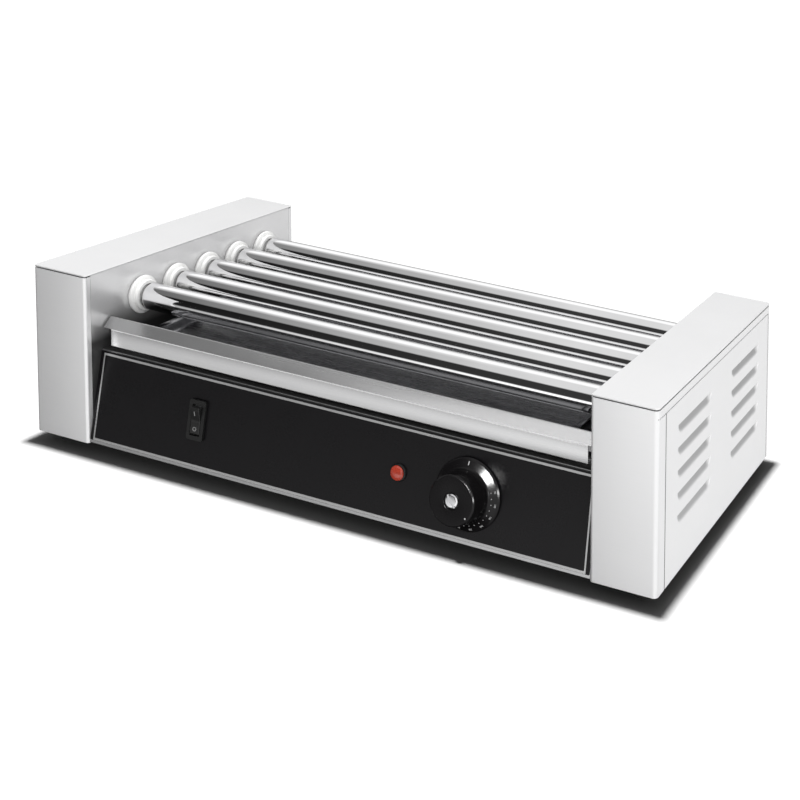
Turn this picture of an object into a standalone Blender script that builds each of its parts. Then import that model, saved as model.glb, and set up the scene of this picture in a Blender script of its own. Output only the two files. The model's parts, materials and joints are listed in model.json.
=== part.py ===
"""Countertop hot dog roller grill, five heated rollers, built as an assembly.

Frame: metres, +Z up, +X to the operator's right along the rollers, the
operator stands at -Y.  Z = 0 is the worktop under the rubber feet.
"""
import math

import bmesh
import bpy
from mathutils import Matrix, Vector

# ---------------------------------------------------------------- dimensions
GAP = 0.0003                # clearance between pieces that touch
WIDTH = 0.580               # over the two end covers
DEPTH = 0.285               # end cover, front to back
FOOT_H = 0.010
COVER_H = 0.148
COVER_W = 0.055             # width of one end cover
COVER_T = 0.0010
BEND_R = 0.004              # outside radius of the folded steel
HEM = 0.0060                # return of the cover along the inner wall
HEM_R = 0.0025
LOUVRE_COLUMNS = (0.081, 0.211)   # middles, behind the front face
LOUVRE_ROWS = 5
LOUVRE_Z0 = 0.0425          # lowest row, above the cover's foot
LOUVRE_STEP = 0.0183
LOUVRE_LEN = 0.077
LOUVRE_H = 0.009
SEAM_LOW, SEAM_HIGH = 0.0085, 0.0078   # below the top
SEAM_DEEP = 0.0004
FRONT = -0.19096            # front face of the end covers
BACK = FRONT + DEPTH
HALF = WIDTH / 2.0
INNER = HALF - COVER_W      # inner wall plane of each end
Z_LOW = FOOT_H
Z_TOP = FOOT_H + COVER_H

SHEET = 0.0012              # inner plates and pans
OVER = 0.010                # how far a cutter reaches past what it cuts

PAN_FRONT = FRONT + 0.0095
PAN_BACK = BACK - 0.0032
PAN_LOW, PAN_HIGH = Z_LOW + 0.0018, Z_LOW + 0.0140
PAN_VENT = (0.060, 0.006)   # length and height of one slot
REAR_Y = BACK - 0.0017      # outer face of the rear panel
REAR_TOP = Z_LOW + 0.1030

ROLLERS = 5
ROLLER_Y0 = FRONT + 0.065
ROLLER_PITCH = 0.0428
ROLLER_Z = Z_LOW + 0.115
ROLLER_R = 0.0120
SPIGOT_R = 0.0100           # swaged tube end that runs in the bushing
TUBE_WALL = 0.0012
TUBE_X = 0.2220             # where the full diameter stops
LEFT_END_X = -0.2430
RIGHT_END_X = 0.2580

BUSH_BORE_R = 0.0104
BUSH_RING_R = 0.0139
BUSH_FLANGE_R = 0.0170
BUSH_SHOULDER_R = 0.0156    # flange, where it meets the side plate
BUSH_BEVEL = 0.0024         # depth of the flange's back bevel
BUSH_SLEEVE_R = 0.0130
BUSH_BACK_X = 0.2395        # sleeve end, behind the side plate
BUSH_OUT = 0.0085           # bushing face, out of the side plate
BUSH_STEP = 0.0050          # where the ring meets the flange
BUSH_FLANGE_T = 0.0040

HEATER_R = 0.0040
HEATER_END = 0.2640
HEATER_PIN_R = 0.0016       # terminal pin at each end
HEATER_PIN_END = 0.2680
HEATER_CLAMP_X = 0.2620

CHAIN_PITCH = 0.00635
TEETH = 16
PITCH_R = CHAIN_PITCH / (2.0 * math.sin(math.pi / TEETH))
PIN_R = 0.00160
SPROCKET_X = 0.2480         # mid plane of the chain line
SPROCKET_T = 0.0030
MOTOR_Z = 0.0620            # first guess; the chain length trims it
MOTOR_PLATE_X = 0.2514      # face of the bracket that carries the motor

PANEL_BASE_Y = FRONT + 0.002
PANEL_BASE_Z = Z_LOW + 0.003
PANEL_TOP_Y = FRONT + 0.018
PANEL_TOP_Z = Z_LOW + 0.079
TILT = math.atan2(PANEL_TOP_Y - PANEL_BASE_Y, PANEL_TOP_Z - PANEL_BASE_Z)
PANEL_LEN = math.hypot(PANEL_TOP_Y - PANEL_BASE_Y, PANEL_TOP_Z - PANEL_BASE_Z)
CONTROL_V = 0.0388          # height of the controls, along the sloping panel
SWITCH_X = -0.1290
LAMP_X = 0.0640
KNOB_X = 0.1270
KNOB_V = CONTROL_V - 0.0018
STEM_R = 0.0053             # holes for the lamp and the dial neck
FASCIA_T = 0.0006

TRAY_HALF = 0.1990          # half width of the tray well
SLOPE_HALF = 0.2335         # half width of the sloping top of the front rail
FACE_HALF = 0.2250          # half width of the rail's upright face
TRAY_BACK = FRONT + 0.264

FOOT_X = 0.2720             # feet, from the middle
FOOT_IN = 0.0200            # feet, from the front and back faces

CORD_R = 0.0035
CORD_X = -0.1800
CORD_Z = 0.0400

# ------------------------------------------------------------------- scene
for old in list(bpy.data.objects):
    bpy.data.objects.remove(old, do_unlink=True)

PARTS = bpy.data.collections.new("hot_dog_roller_grill")
CUTTERS = bpy.data.collections.new("cutters")
bpy.context.scene.collection.children.link(PARTS)
bpy.context.scene.collection.children.link(CUTTERS)

FINISH = {
    "steel": ((0.72, 0.72, 0.73), 0.34, 1.0),
    "dull_steel": ((0.55, 0.55, 0.56), 0.45, 1.0),
    "chrome": ((0.80, 0.80, 0.82), 0.10, 1.0),
    "zinc": ((0.60, 0.61, 0.63), 0.40, 1.0),
    "chain": ((0.32, 0.31, 0.30), 0.42, 1.0),
    "black_gloss": ((0.012, 0.012, 0.013), 0.22, 0.0),
    "black_plastic": ((0.015, 0.015, 0.016), 0.40, 0.0),
    "white_plastic": ((0.86, 0.86, 0.84), 0.38, 0.0),
    "red_lens": ((0.62, 0.06, 0.03), 0.18, 0.0),
    "rubber": ((0.018, 0.018, 0.018), 0.75, 0.0),
    "beige": ((0.70, 0.66, 0.55), 0.50, 0.0),
    "heater": ((0.30, 0.31, 0.30), 0.50, 1.0),
}


def give_material(ob, finish):
    colour, rough, metal = FINISH[finish]
    mat = bpy.data.materials.new(ob.name + "_mat")
    mat.use_nodes = True
    shader = mat.node_tree.nodes["Principled BSDF"]
    shader.inputs["Base Color"].default_value = (*colour, 1.0)
    shader.inputs["Roughness"].default_value = rough
    shader.inputs["Metallic"].default_value = metal
    ob.data.materials.clear()
    ob.data.materials.append(mat)


def place(ob, finish, frame=None):
    """Link an object as a part (finish given) or as a cutter (finish None)."""
    if frame is not None:
        ob.matrix_world = frame
    if finish is None:
        CUTTERS.objects.link(ob)
        ob.hide_render = True
        ob.display_type = "WIRE"
    else:
        PARTS.objects.link(ob)
        give_material(ob, finish)
    return ob


def smooth(ob, angle=32.0):
    for poly in ob.data.polygons:
        poly.use_smooth = True
    ob.data.set_sharp_from_angle(angle=math.radians(angle))


# local axes to world: "yz" draws in (Y, Z) and extrudes along X,
# "xz" draws in (X, Z) and extrudes along -Y, "xy" draws in plan
DRAW_YZ = Matrix(((0, 0, 1, 0), (1, 0, 0, 0), (0, 1, 0, 0), (0, 0, 0, 1)))
DRAW_XZ = Matrix(((1, 0, 0, 0), (0, 0, -1, 0), (0, 1, 0, 0), (0, 0, 0, 1)))
ALONG_X = Matrix(((0, 0, 1, 0), (0, 1, 0, 0), (-1, 0, 0, 0), (0, 0, 0, 1)))


def move(x, y, z):
    return Matrix.Translation(Vector((x, y, z)))


def on_panel(x=0.0, v=0.0, w=0.0):
    """Frame on the sloping panel: X along it, Y up it, Z out of it."""
    turn = Matrix.Rotation(math.radians(90.0) - TILT, 4, "X")
    return move(0.0, PANEL_BASE_Y, PANEL_BASE_Z) @ turn @ move(x, v, w)


def box(name, lo, hi, finish, frame=None):
    size = [b - a for a, b in zip(lo, hi)]
    mid = [(a + b) / 2.0 for a, b in zip(lo, hi)]
    mesh = bpy.data.meshes.new(name)
    bm = bmesh.new()
    bmesh.ops.create_cube(bm, size=1.0, matrix=Matrix.Diagonal((*size, 1.0)))
    bm.to_mesh(mesh)
    bm.free()
    ob = bpy.data.objects.new(name, mesh)
    base = frame if frame is not None else Matrix.Identity(4)
    return place(ob, finish, base @ move(*mid))


def outline(name, loops, depth, finish, frame=None, mid=0.0):
    """A flat plate: closed outlines in local XY, made solid along Z."""
    curve = bpy.data.curves.new(name, "CURVE")
    curve.dimensions = "2D"
    curve.fill_mode = "BOTH"
    curve.extrude = depth / 2.0
    for loop in loops:
        spline = curve.splines.new("POLY")
        spline.points.add(len(loop) - 1)
        for point, (x, y) in zip(spline.points, loop):
            point.co = (x, y, 0.0, 1.0)
        spline.use_cyclic_u = True
    drawn = bpy.data.objects.new(name + "_outline", curve)
    bpy.context.scene.collection.objects.link(drawn)
    bpy.context.view_layer.update()
    graph = bpy.context.evaluated_depsgraph_get()
    mesh = bpy.data.meshes.new_from_object(drawn.evaluated_get(graph))
    bpy.data.objects.remove(drawn, do_unlink=True)
    bpy.data.curves.remove(curve)
    bm = bmesh.new()
    bm.from_mesh(mesh)
    bmesh.ops.remove_doubles(bm, verts=bm.verts, dist=1e-6)
    bmesh.ops.recalc_face_normals(bm, faces=bm.faces)
    bm.to_mesh(mesh)
    bm.free()
    mesh.name = name
    ob = bpy.data.objects.new(name, mesh)
    base = frame if frame is not None else Matrix.Identity(4)
    return place(ob, finish, base @ move(0.0, 0.0, mid))


def turned(name, profile, finish, frame, steps=24):
    """A turned solid about local Z from (radius, height) points."""
    area = 0.0
    for (r0, z0), (r1, z1) in zip(profile, profile[1:] + profile[:1]):
        area += r0 * z1 - r1 * z0
    if area > 0.0:          # the outer side must run from the top down
        profile = profile[::-1]
    mesh = bpy.data.meshes.new(name)
    bm = bmesh.new()
    verts = [bm.verts.new((r, 0.0, z)) for r, z in profile]
    for a, b in zip(verts, verts[1:]):
        bm.edges.new((a, b))
    if profile[0][0] > 0.0:
        bm.edges.new((verts[-1], verts[0]))
    bm.to_mesh(mesh)
    bm.free()
    ob = bpy.data.objects.new(name, mesh)
    place(ob, finish, frame)
    spin = ob.modifiers.new("turn", "SCREW")
    spin.axis = "Z"
    spin.angle = math.radians(360.0)
    spin.steps = steps
    spin.render_steps = steps
    spin.use_merge_vertices = True
    spin.merge_threshold = 0.00001
    spin.use_smooth_shade = False
    return ob


def boolean(ob, tool, kind="DIFFERENCE"):
    mod = ob.modifiers.new(tool.name, "BOOLEAN")
    mod.operation = kind
    mod.solver = "EXACT"
    mod.object = tool
    return ob


def circle(x, y, r, n=24, phase=0.0):
    step = 2.0 * math.pi / n
    return [(x + r * math.cos(phase + i * step), y + r * math.sin(phase + i * step))
            for i in range(n)]


def round_rect(x0, y0, x1, y1, radii, n=4):
    """Corners in order (x0,y0) (x1,y0) (x1,y1) (x0,y1)."""
    corners = [(x0, y0, 180.0), (x1, y0, 270.0), (x1, y1, 0.0), (x0, y1, 90.0)]
    points = []
    for (cx, cy, start), r in zip(corners, radii):
        if r <= 0.0:
            points.append((cx, cy))
            continue
        mx = cx + r if cx == x0 else cx - r
        my = cy + r if cy == y0 else cy - r
        for i in range(n + 1):
            a = math.radians(start + 90.0 * i / n)
            points.append((mx + r * math.cos(a), my + r * math.sin(a)))
    return points


def slot(x, y, length, height, n=6):
    """A round-ended slot along X, centred on (x, y)."""
    r = height / 2.0
    half = length / 2.0 - r
    points = []
    for side, start in ((half, -90.0), (-half, 90.0)):
        for i in range(n + 1):
            a = math.radians(start + 180.0 * i / n)
            points.append((x + side + r * math.cos(a), y + r * math.sin(a)))
    return points


def strip(path, t):
    """Closed outline of sheet of thickness t laid on the left of a path."""
    side = []
    for i, (x, y) in enumerate(path):
        normals = []
        for j in (i - 1, i):
            if 0 <= j < len(path) - 1:
                dx = path[j + 1][0] - path[j][0]
                dy = path[j + 1][1] - path[j][1]
                size = math.hypot(dx, dy)
                normals.append((-dy / size, dx / size))
        nx = sum(n[0] for n in normals)
        ny = sum(n[1] for n in normals)
        scale = t * len(normals) / (nx * nx + ny * ny)
        side.append((x + nx * scale, y + ny * scale))
    return list(path) + side[::-1]


def flip(points, sign):
    return [(sign * x, y) for x, y in points]


# --------------------------------------------------------------- end covers
def end_cover(name, sign):
    skin = round_rect(INNER, FRONT, HALF, BACK, (HEM_R, BEND_R, BEND_R, HEM_R))
    cover = outline(name, [flip(skin, sign)], COVER_H, "steel",
                    None, (Z_LOW + Z_TOP) / 2.0)
    t = COVER_T
    # hollow, open towards the rollers between the front and rear hems
    inside = round_rect(INNER + t, FRONT + t, HALF - t, BACK - t,
                        (HEM_R - t, BEND_R - t, BEND_R - t, HEM_R - t))
    inside += [(INNER + t, BACK - HEM), (INNER - OVER, BACK - HEM),
               (INNER - OVER, FRONT + HEM), (INNER + t, FRONT + HEM)]
    low = Z_LOW - OVER
    high = Z_TOP - t
    boolean(cover, outline(name + "_hollow", [flip(inside, sign)], high - low,
                           None, None, (low + high) / 2.0))
    slots = []
    for col in LOUVRE_COLUMNS:
        for row in range(LOUVRE_ROWS):
            slots.append(slot(FRONT + col, Z_LOW + LOUVRE_Z0 + LOUVRE_STEP * row,
                              LOUVRE_LEN, LOUVRE_H))
    boolean(cover, outline(name + "_louvres", slots, 0.006, None, DRAW_YZ,
                           sign * HALF))
    # shallow seam where the folded top meets the outer side
    ends = sorted((sign * (HALF - SEAM_DEEP), sign * (HALF + OVER)))
    lo = (ends[0], FRONT + BEND_R, Z_TOP - SEAM_LOW)
    hi = (ends[1], BACK - BEND_R, Z_TOP - SEAM_HIGH)
    boolean(cover, box(name + "_seam", lo, hi, None))
    return cover


end_cover("left_end_cover", -1.0)
end_cover("right_end_cover", 1.0)


def roller_y(i):
    return ROLLER_Y0 + ROLLER_PITCH * i


# ----------------------------------------- inner side plates (carry rollers)
def side_plate(name, sign):
    path = [(HALF - COVER_T - 0.0022, Z_LOW + GAP), (INNER, Z_LOW + GAP),
            (INNER, Z_TOP - COVER_T - GAP)]
    section = strip([(sign * x, z) for x, z in path], -sign * SHEET)
    y0 = FRONT + HEM + GAP
    y1 = BACK - HEM - GAP
    plate = outline(name, [section], y1 - y0, "steel", DRAW_XZ, -(y0 + y1) / 2.0)
    holes = [circle(roller_y(i), ROLLER_Z, BUSH_SLEEVE_R + GAP, 20)
             for i in range(ROLLERS)]
    boolean(plate, outline(name + "_holes", holes, OVER, None, DRAW_YZ,
                           sign * (INNER + SHEET / 2.0)))
    return plate


side_plate("left_side_plate", -1.0)
side_plate("right_side_plate", 1.0)

# ------------------------------------------------------- base and rear panels
BETWEEN = INNER - GAP       # half width of everything between the side plates

pan = box("base_pan", (-BETWEEN, PAN_FRONT, PAN_LOW), (BETWEEN, PAN_BACK, PAN_HIGH),
          "dull_steel")
boolean(pan, box("base_pan_hollow",
                 (-BETWEEN + SHEET, PAN_FRONT + SHEET, PAN_LOW + SHEET),
                 (BETWEEN - SHEET, PAN_BACK - SHEET, PAN_HIGH + OVER), None))
vents = []
for row in range(5):
    for col in (-0.105, 0.0, 0.105):
        vents.append(slot(col, FRONT + 0.100 + 0.026 * row, *PAN_VENT, 4))
boolean(pan, outline("base_pan_vents", vents, OVER, None, None, PAN_LOW))

rear_path = [(BACK - 0.018, REAR_TOP), (REAR_Y, REAR_TOP), (REAR_Y, Z_LOW + 0.0008)]
rear = outline("rear_panel", [strip(rear_path, -SHEET)], 2.0 * BETWEEN, "steel",
               DRAW_YZ)
boolean(rear, outline("rear_cord_hole", [circle(CORD_X, CORD_Z, 0.0080, 16)], 2.0 * OVER,
                      None, DRAW_XZ, -BACK))
rear_slots = []
for row in range(3):
    for col in (-0.075, 0.015, 0.105):
        rear_slots.append(slot(col, 0.050 + 0.016 * row, *PAN_VENT, 4))
boolean(rear, outline("rear_vents", rear_slots, 2.0 * OVER, None, DRAW_XZ, -BACK))

# -------------------------------------------------------------- control panel
# folded sheet: bottom return, sloping face, top return under the tray
PANEL_FOOT_Z = Z_LOW + GAP
panel_path = [(FRONT + 0.0300, PANEL_FOOT_Z),
              (PANEL_BASE_Y - math.tan(TILT) * (PANEL_BASE_Z - PANEL_FOOT_Z), PANEL_FOOT_Z),
              (PANEL_TOP_Y, PANEL_TOP_Z), (PANEL_TOP_Y + 0.0200, PANEL_TOP_Z)]
panel = outline("control_panel", [strip(panel_path, -SHEET)], 2.0 * BETWEEN, "steel",
                DRAW_YZ)

SWITCH_CUT = (0.0065, 0.0142)
boolean(panel, box("panel_switch_hole", (-SWITCH_CUT[0], -SWITCH_CUT[1], -OVER),
                   (SWITCH_CUT[0], SWITCH_CUT[1], OVER), None,
                   on_panel(SWITCH_X, CONTROL_V)))
boolean(panel, outline("panel_round_holes",
                       [circle(LAMP_X, CONTROL_V, STEM_R, 20),
                        circle(KNOB_X, KNOB_V, STEM_R, 20)],
                       2.0 * OVER, None, on_panel()))

FASCIA_IN = 0.0012          # fascia set back from the folds of the panel
fx = BETWEEN - FASCIA_IN / 2.0
outline("panel_fascia",
        [round_rect(-fx, FASCIA_IN, fx, PANEL_LEN - FASCIA_IN, (0.0008,) * 4, 2),
         [(SWITCH_X + a * SWITCH_CUT[0], CONTROL_V + b * SWITCH_CUT[1])
          for a, b in ((-1, -1), (1, -1), (1, 1), (-1, 1))],
         circle(LAMP_X, CONTROL_V, STEM_R, 20),
         circle(KNOB_X, KNOB_V, STEM_R, 20)],
        FASCIA_T, "black_gloss", on_panel(), GAP + FASCIA_T / 2.0)
FACE = 2.0 * GAP + FASCIA_T  # where things that sit on the fascia start

# --------------------------------------------------------------- rocker switch
CAV = (0.0050, 0.0129)
housing = box("switch_housing", (-0.0080, -0.0165, FACE), (0.0080, 0.0165, 0.0036),
              "black_plastic", on_panel(SWITCH_X, CONTROL_V))
boolean(housing, box("switch_body", (-0.0062, -0.0139, -0.0220),
                     (0.0062, 0.0139, 0.0025), None,
                     on_panel(SWITCH_X, CONTROL_V)), "UNION")
boolean(housing, box("switch_cavity", (-CAV[0], -CAV[1], -0.0170),
                     (CAV[0], CAV[1], 0.0100), None,
                     on_panel(SWITCH_X, CONTROL_V)))
# two-faced rocker, drawn square to the panel and tipped to its rest side
ROCK = math.radians(10.0)
rock_shape = [(-0.0113, 0.0012), (-0.0080, -0.0060), (0.0080, -0.0060),
              (0.0113, 0.0012), (0.0113, 0.0050), (0.0, 0.0030), (-0.0113, 0.0050)]
outline("switch_rocker", [rock_shape], 0.0092, "black_plastic",
        on_panel(SWITCH_X, CONTROL_V, 0.0010)
        @ Matrix.Rotation(ROCK, 4, "X") @ DRAW_YZ)

# ------------------------------------------------------------------ pilot lamp
turned("pilot_lamp_body",
       [(0.0034, -0.0060), (0.0034, 0.0034), (0.0068, 0.0026), (0.0072, FACE),
        (0.0050, FACE), (0.0050, -0.0200), (0.0015, -0.0200), (0.0015, -0.0060)],
       "black_plastic", on_panel(LAMP_X, CONTROL_V), 20)
turned("pilot_lamp_lens",
       [(0.0, 0.0062), (0.0030, 0.0058), (0.0050, 0.0048), (0.0058, 0.0037),
        (0.0031, 0.0037), (0.0031, -0.0050), (0.0, -0.0050)],
       "red_lens", on_panel(LAMP_X, CONTROL_V), 20)

# ------------------------------------------------------------------ thermostat
thermostat = box("thermostat_body", (-0.0190, -0.0170, -0.0330),
                 (0.0190, 0.0170, -SHEET - GAP), "beige", on_panel(KNOB_X, KNOB_V))
boolean(thermostat, turned("thermostat_neck",
                           [(0.0, 0.0060), (0.0050, 0.0060), (0.0050, -0.0060),
                            (0.0, -0.0060)], None, on_panel(KNOB_X, KNOB_V), 20), "UNION")
boolean(thermostat, turned("thermostat_bore",
                           [(0.0, 0.0100), (0.0035, 0.0100), (0.0035, -0.0150),
                            (0.0, -0.0150)], None, on_panel(KNOB_X, KNOB_V), 20))
turned("thermostat_spindle",
       [(0.0, 0.0180), (0.0030, 0.0180), (0.0030, -0.0140), (0.0, -0.0140)],
       "zinc", on_panel(KNOB_X, KNOB_V), 16)
# dial skirt and plain round grip in one moulding, hollow behind for the spindle nut
SCREW_WELL_R = 0.0066
GRIP_FACE = 0.0288
turned("thermostat_knob",
       [(0.0, 0.0270), (SCREW_WELL_R, 0.0270), (SCREW_WELL_R, GRIP_FACE),
        (0.0182, GRIP_FACE), (0.0195, 0.0276), (0.0205, 0.0085), (0.0215, 0.0072),
        (0.0270, 0.0046), (0.0285, 0.0030), (0.0285, 0.0018), (0.0255, 0.0018),
        (0.0225, 0.0032), (0.0080, 0.0032), (0.0080, 0.0090), (0.0033, 0.0090),
        (0.0033, 0.0190), (0.0, 0.0190)],
       "black_plastic", on_panel(KNOB_X, KNOB_V), 32)
turned("knob_screw",
       [(0.0, 0.0296), (0.0046, 0.0296), (0.0056, 0.0290), (0.0056, 0.0273),
        (0.0, 0.0273)],
       "chrome", on_panel(KNOB_X, KNOB_V), 20)

# ------------------------------------------------------------------- drip tray
ty0 = FRONT + 0.0262
tray = box("drip_tray", (-TRAY_HALF, ty0, Z_LOW + 0.0870),
           (TRAY_HALF, TRAY_BACK, Z_LOW + 0.0965), "steel")
boolean(tray, box("tray_rim", (-TRAY_HALF - 0.0045, ty0 + 0.0004, Z_LOW + 0.0953),
                  (TRAY_HALF + 0.0045, TRAY_BACK + 0.0045, Z_LOW + 0.0966), None), "UNION")
# folded front rail: hem, face, slope, back wall
RAIL_Y = FRONT + 0.0180     # upright face
RAIL_FOOT, RAIL_FOLD, RAIL_TOP = Z_LOW + 0.0830, Z_LOW + 0.0977, Z_LOW + 0.1052
WELL_FRONT = FRONT + 0.0290
rail = [(RAIL_Y + 0.0070, RAIL_FOOT), (RAIL_Y, RAIL_FOOT), (RAIL_Y, RAIL_FOLD),
        (WELL_FRONT - 0.0020, RAIL_TOP), (WELL_FRONT, RAIL_TOP),
        (WELL_FRONT, Z_LOW + 0.0875)]
boolean(tray, outline("tray_rail", [strip(rail, -SHEET)], 2.0 * SLOPE_HALF, None,
                      DRAW_YZ), "UNION")
boolean(tray, box("tray_hollow", (-TRAY_HALF + SHEET, WELL_FRONT, Z_LOW + 0.0882),
                  (TRAY_HALF - SHEET, TRAY_BACK - SHEET, Z_LOW + 0.1300), None))

for side, sign in (("left", -1.0), ("right", 1.0)):
    ends = sorted((sign * FACE_HALF, sign * (SLOPE_HALF + OVER)))
    lo = (ends[0], RAIL_Y - OVER, RAIL_FOOT - OVER)
    hi = (ends[1], WELL_FRONT - 0.0020, RAIL_FOLD - 0.0005)
    boolean(tray, box(side + "_rail_notch", lo, hi, None))

for side, sign in (("left", -1.0), ("right", 1.0)):
    z0 = Z_LOW + 0.0033
    path = [(0.2150, z0), (0.2010, z0), (0.2010, Z_LOW + 0.0855), (0.1850, Z_LOW + 0.0855)]
    rail_y0 = FRONT + 0.0450
    rail_y1 = FRONT + 0.2600
    outline(side + "_tray_rail", [strip([(sign * x, z) for x, z in path], -sign * SHEET)],
            rail_y1 - rail_y0, "dull_steel", DRAW_XZ, -(rail_y0 + rail_y1) / 2.0)


# --------------------------------------------------------------------- rollers
def shaft_frame(i):
    return move(0.0, roller_y(i), ROLLER_Z) @ ALONG_X


def sprocket_points():
    """Tooth outline: valleys that clear the chain pins, flat-topped teeth."""
    pts = []
    for k in range(TEETH):
        a = 2.0 * math.pi * k / TEETH
        step = 2.0 * math.pi / TEETH
        for part, r in ((-0.30, PITCH_R - 0.0004), (-0.13, PITCH_R - 0.0021),
                        (0.13, PITCH_R - 0.0021), (0.30, PITCH_R - 0.0004),
                        (0.44, PITCH_R + 0.0016), (0.56, PITCH_R + 0.0016)):
            pts.append((r * math.cos(a + part * step), r * math.sin(a + part * step)))
    return pts


def sprocket(name, y, z, phase, bore, hub_r, hub_lo, hub_hi):
    """Valley number zero points along `phase`, an angle from +Y towards +Z."""
    frame = move(0.0, y, z) @ Matrix.Rotation(phase, 4, "X") @ DRAW_YZ
    wheel = outline(name, [sprocket_points()], SPROCKET_T, "zinc", frame, SPROCKET_X)
    wheel.data.transform(move(0.0, 0.0, SPROCKET_X))
    wheel.matrix_world = frame
    hub = outline(name + "_hub", [circle(0.0, 0.0, hub_r, 20)], hub_hi - hub_lo, None,
                  frame, (hub_lo + hub_hi) / 2.0)
    boolean(wheel, hub, "UNION")
    hole = outline(name + "_bore", [circle(0.0, 0.0, bore, 16)], 0.040, None,
                   frame, SPROCKET_X)
    boolean(wheel, hole)
    return wheel


# ----------------------------------------------------------------------- chain
# one loop: across the tops of the five roller sprockets, down round the motor's
LOOP = [(roller_y(0), ROLLER_Z), (roller_y(2), MOTOR_Z), (roller_y(4), ROLLER_Z)]


def loop_pieces():
    """Lines and arcs of the pitch line, counter-clockwise in (Y, Z)."""
    out = []
    count = len(LOOP)
    for i in range(count):
        a = Vector(LOOP[i])
        b = Vector(LOOP[(i + 1) % count])
        d = (b - a).normalized()
        n = Vector((d.y, -d.x))
        out.append(("line", a + n * PITCH_R, b + n * PITCH_R))
        c = Vector(LOOP[(i + 2) % count])
        e = (c - b).normalized()
        a0 = math.atan2(n.y, n.x)
        a1 = math.atan2(-e.x, e.y)
        while a1 < a0:
            a1 += 2.0 * math.pi
        out.append(("arc", b, a0, a1))
    return out


def loop_length():
    total = 0.0
    for piece in loop_pieces():
        if piece[0] == "line":
            total += (piece[2] - piece[1]).length
        else:
            total += PITCH_R * (piece[3] - piece[2])
    return total


# an even number of links; the motor height is trimmed to make the loop close
LINKS = 2 * round(loop_length() / CHAIN_PITCH / 2.0)
for _ in range(40):
    error = loop_length() - LINKS * CHAIN_PITCH
    MOTOR_Z += error * 0.55
    LOOP[1] = (roller_y(2), MOTOR_Z)


def along_loop(s):
    """Point and outward normal at distance s along the pitch line."""
    for piece in loop_pieces():
        if piece[0] == "line":
            size = (piece[2] - piece[1]).length
            if s <= size:
                d = (piece[2] - piece[1]) / size
                return piece[1] + d * s, Vector((d.y, -d.x))
        else:
            size = PITCH_R * (piece[3] - piece[2])
            if s <= size:
                a = piece[2] + s / PITCH_R
                n = Vector((math.cos(a), math.sin(a)))
                return piece[1] + n * PITCH_R, n
        s -= size
    return along_loop(0.0)


# pins start over roller 3, at the middle of the straight top run
top_line = loop_pieces()[4]
START = sum(
    (p[2] - p[1]).length if p[0] == "line" else PITCH_R * (p[3] - p[2])
    for p in loop_pieces()[:4]) + (top_line[2] - top_line[1]).length / 2.0
TOTAL = LINKS * CHAIN_PITCH
pins = [along_loop((START + k * CHAIN_PITCH) % TOTAL)[0] for k in range(LINKS)]


def phase_for(cy, cz):
    """Angle of the pin nearest the top of a wheel, or the nearest one on it."""
    best = min(pins, key=lambda p: abs((p - Vector((cy, cz))).length - PITCH_R)
               + 0.002 * (p - Vector((cy, cz + (PITCH_R if cz > 0.1 else -PITCH_R)))).length)
    return math.atan2(best.y - cz, best.x - cy)


def band(name, x_mid, finish):
    """One side plate line of the chain: a thin ring round the pitch line."""
    outer = []
    inner = []
    samples = 2 * LINKS
    for k in range(samples):
        p, n = along_loop((START + k * TOTAL / samples) % TOTAL)
        outer.append(tuple(p + n * 0.0026))
        inner.append(tuple(p - n * 0.0026))
    thin_out = [q for j, q in enumerate(outer) if keep(j, samples)]
    thin_in = [q for j, q in enumerate(inner) if keep(j, samples)]
    return outline(name, [thin_out, thin_in], 0.0010, finish, DRAW_YZ, x_mid)


def keep(j, samples):
    """Drop sample points in the middle of straight runs."""
    def normal(k):
        return along_loop((START + k * TOTAL / samples) % TOTAL)[1]
    here = normal(j % samples)
    same_before = (normal((j - 1) % samples) - here).length < 1e-6
    same_after = (normal((j + 1) % samples) - here).length < 1e-6
    return not (same_before and same_after)


chain = band("drive_chain", SPROCKET_X - 0.0023, "chain")
boolean(chain, outline("chain_pins", [circle(p.x, p.y, PIN_R, 6) for p in pins],
                       0.0050, None, DRAW_YZ, SPROCKET_X), "UNION")
boolean(chain, band("chain_far_plates", SPROCKET_X + 0.0023, None), "UNION")

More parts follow.
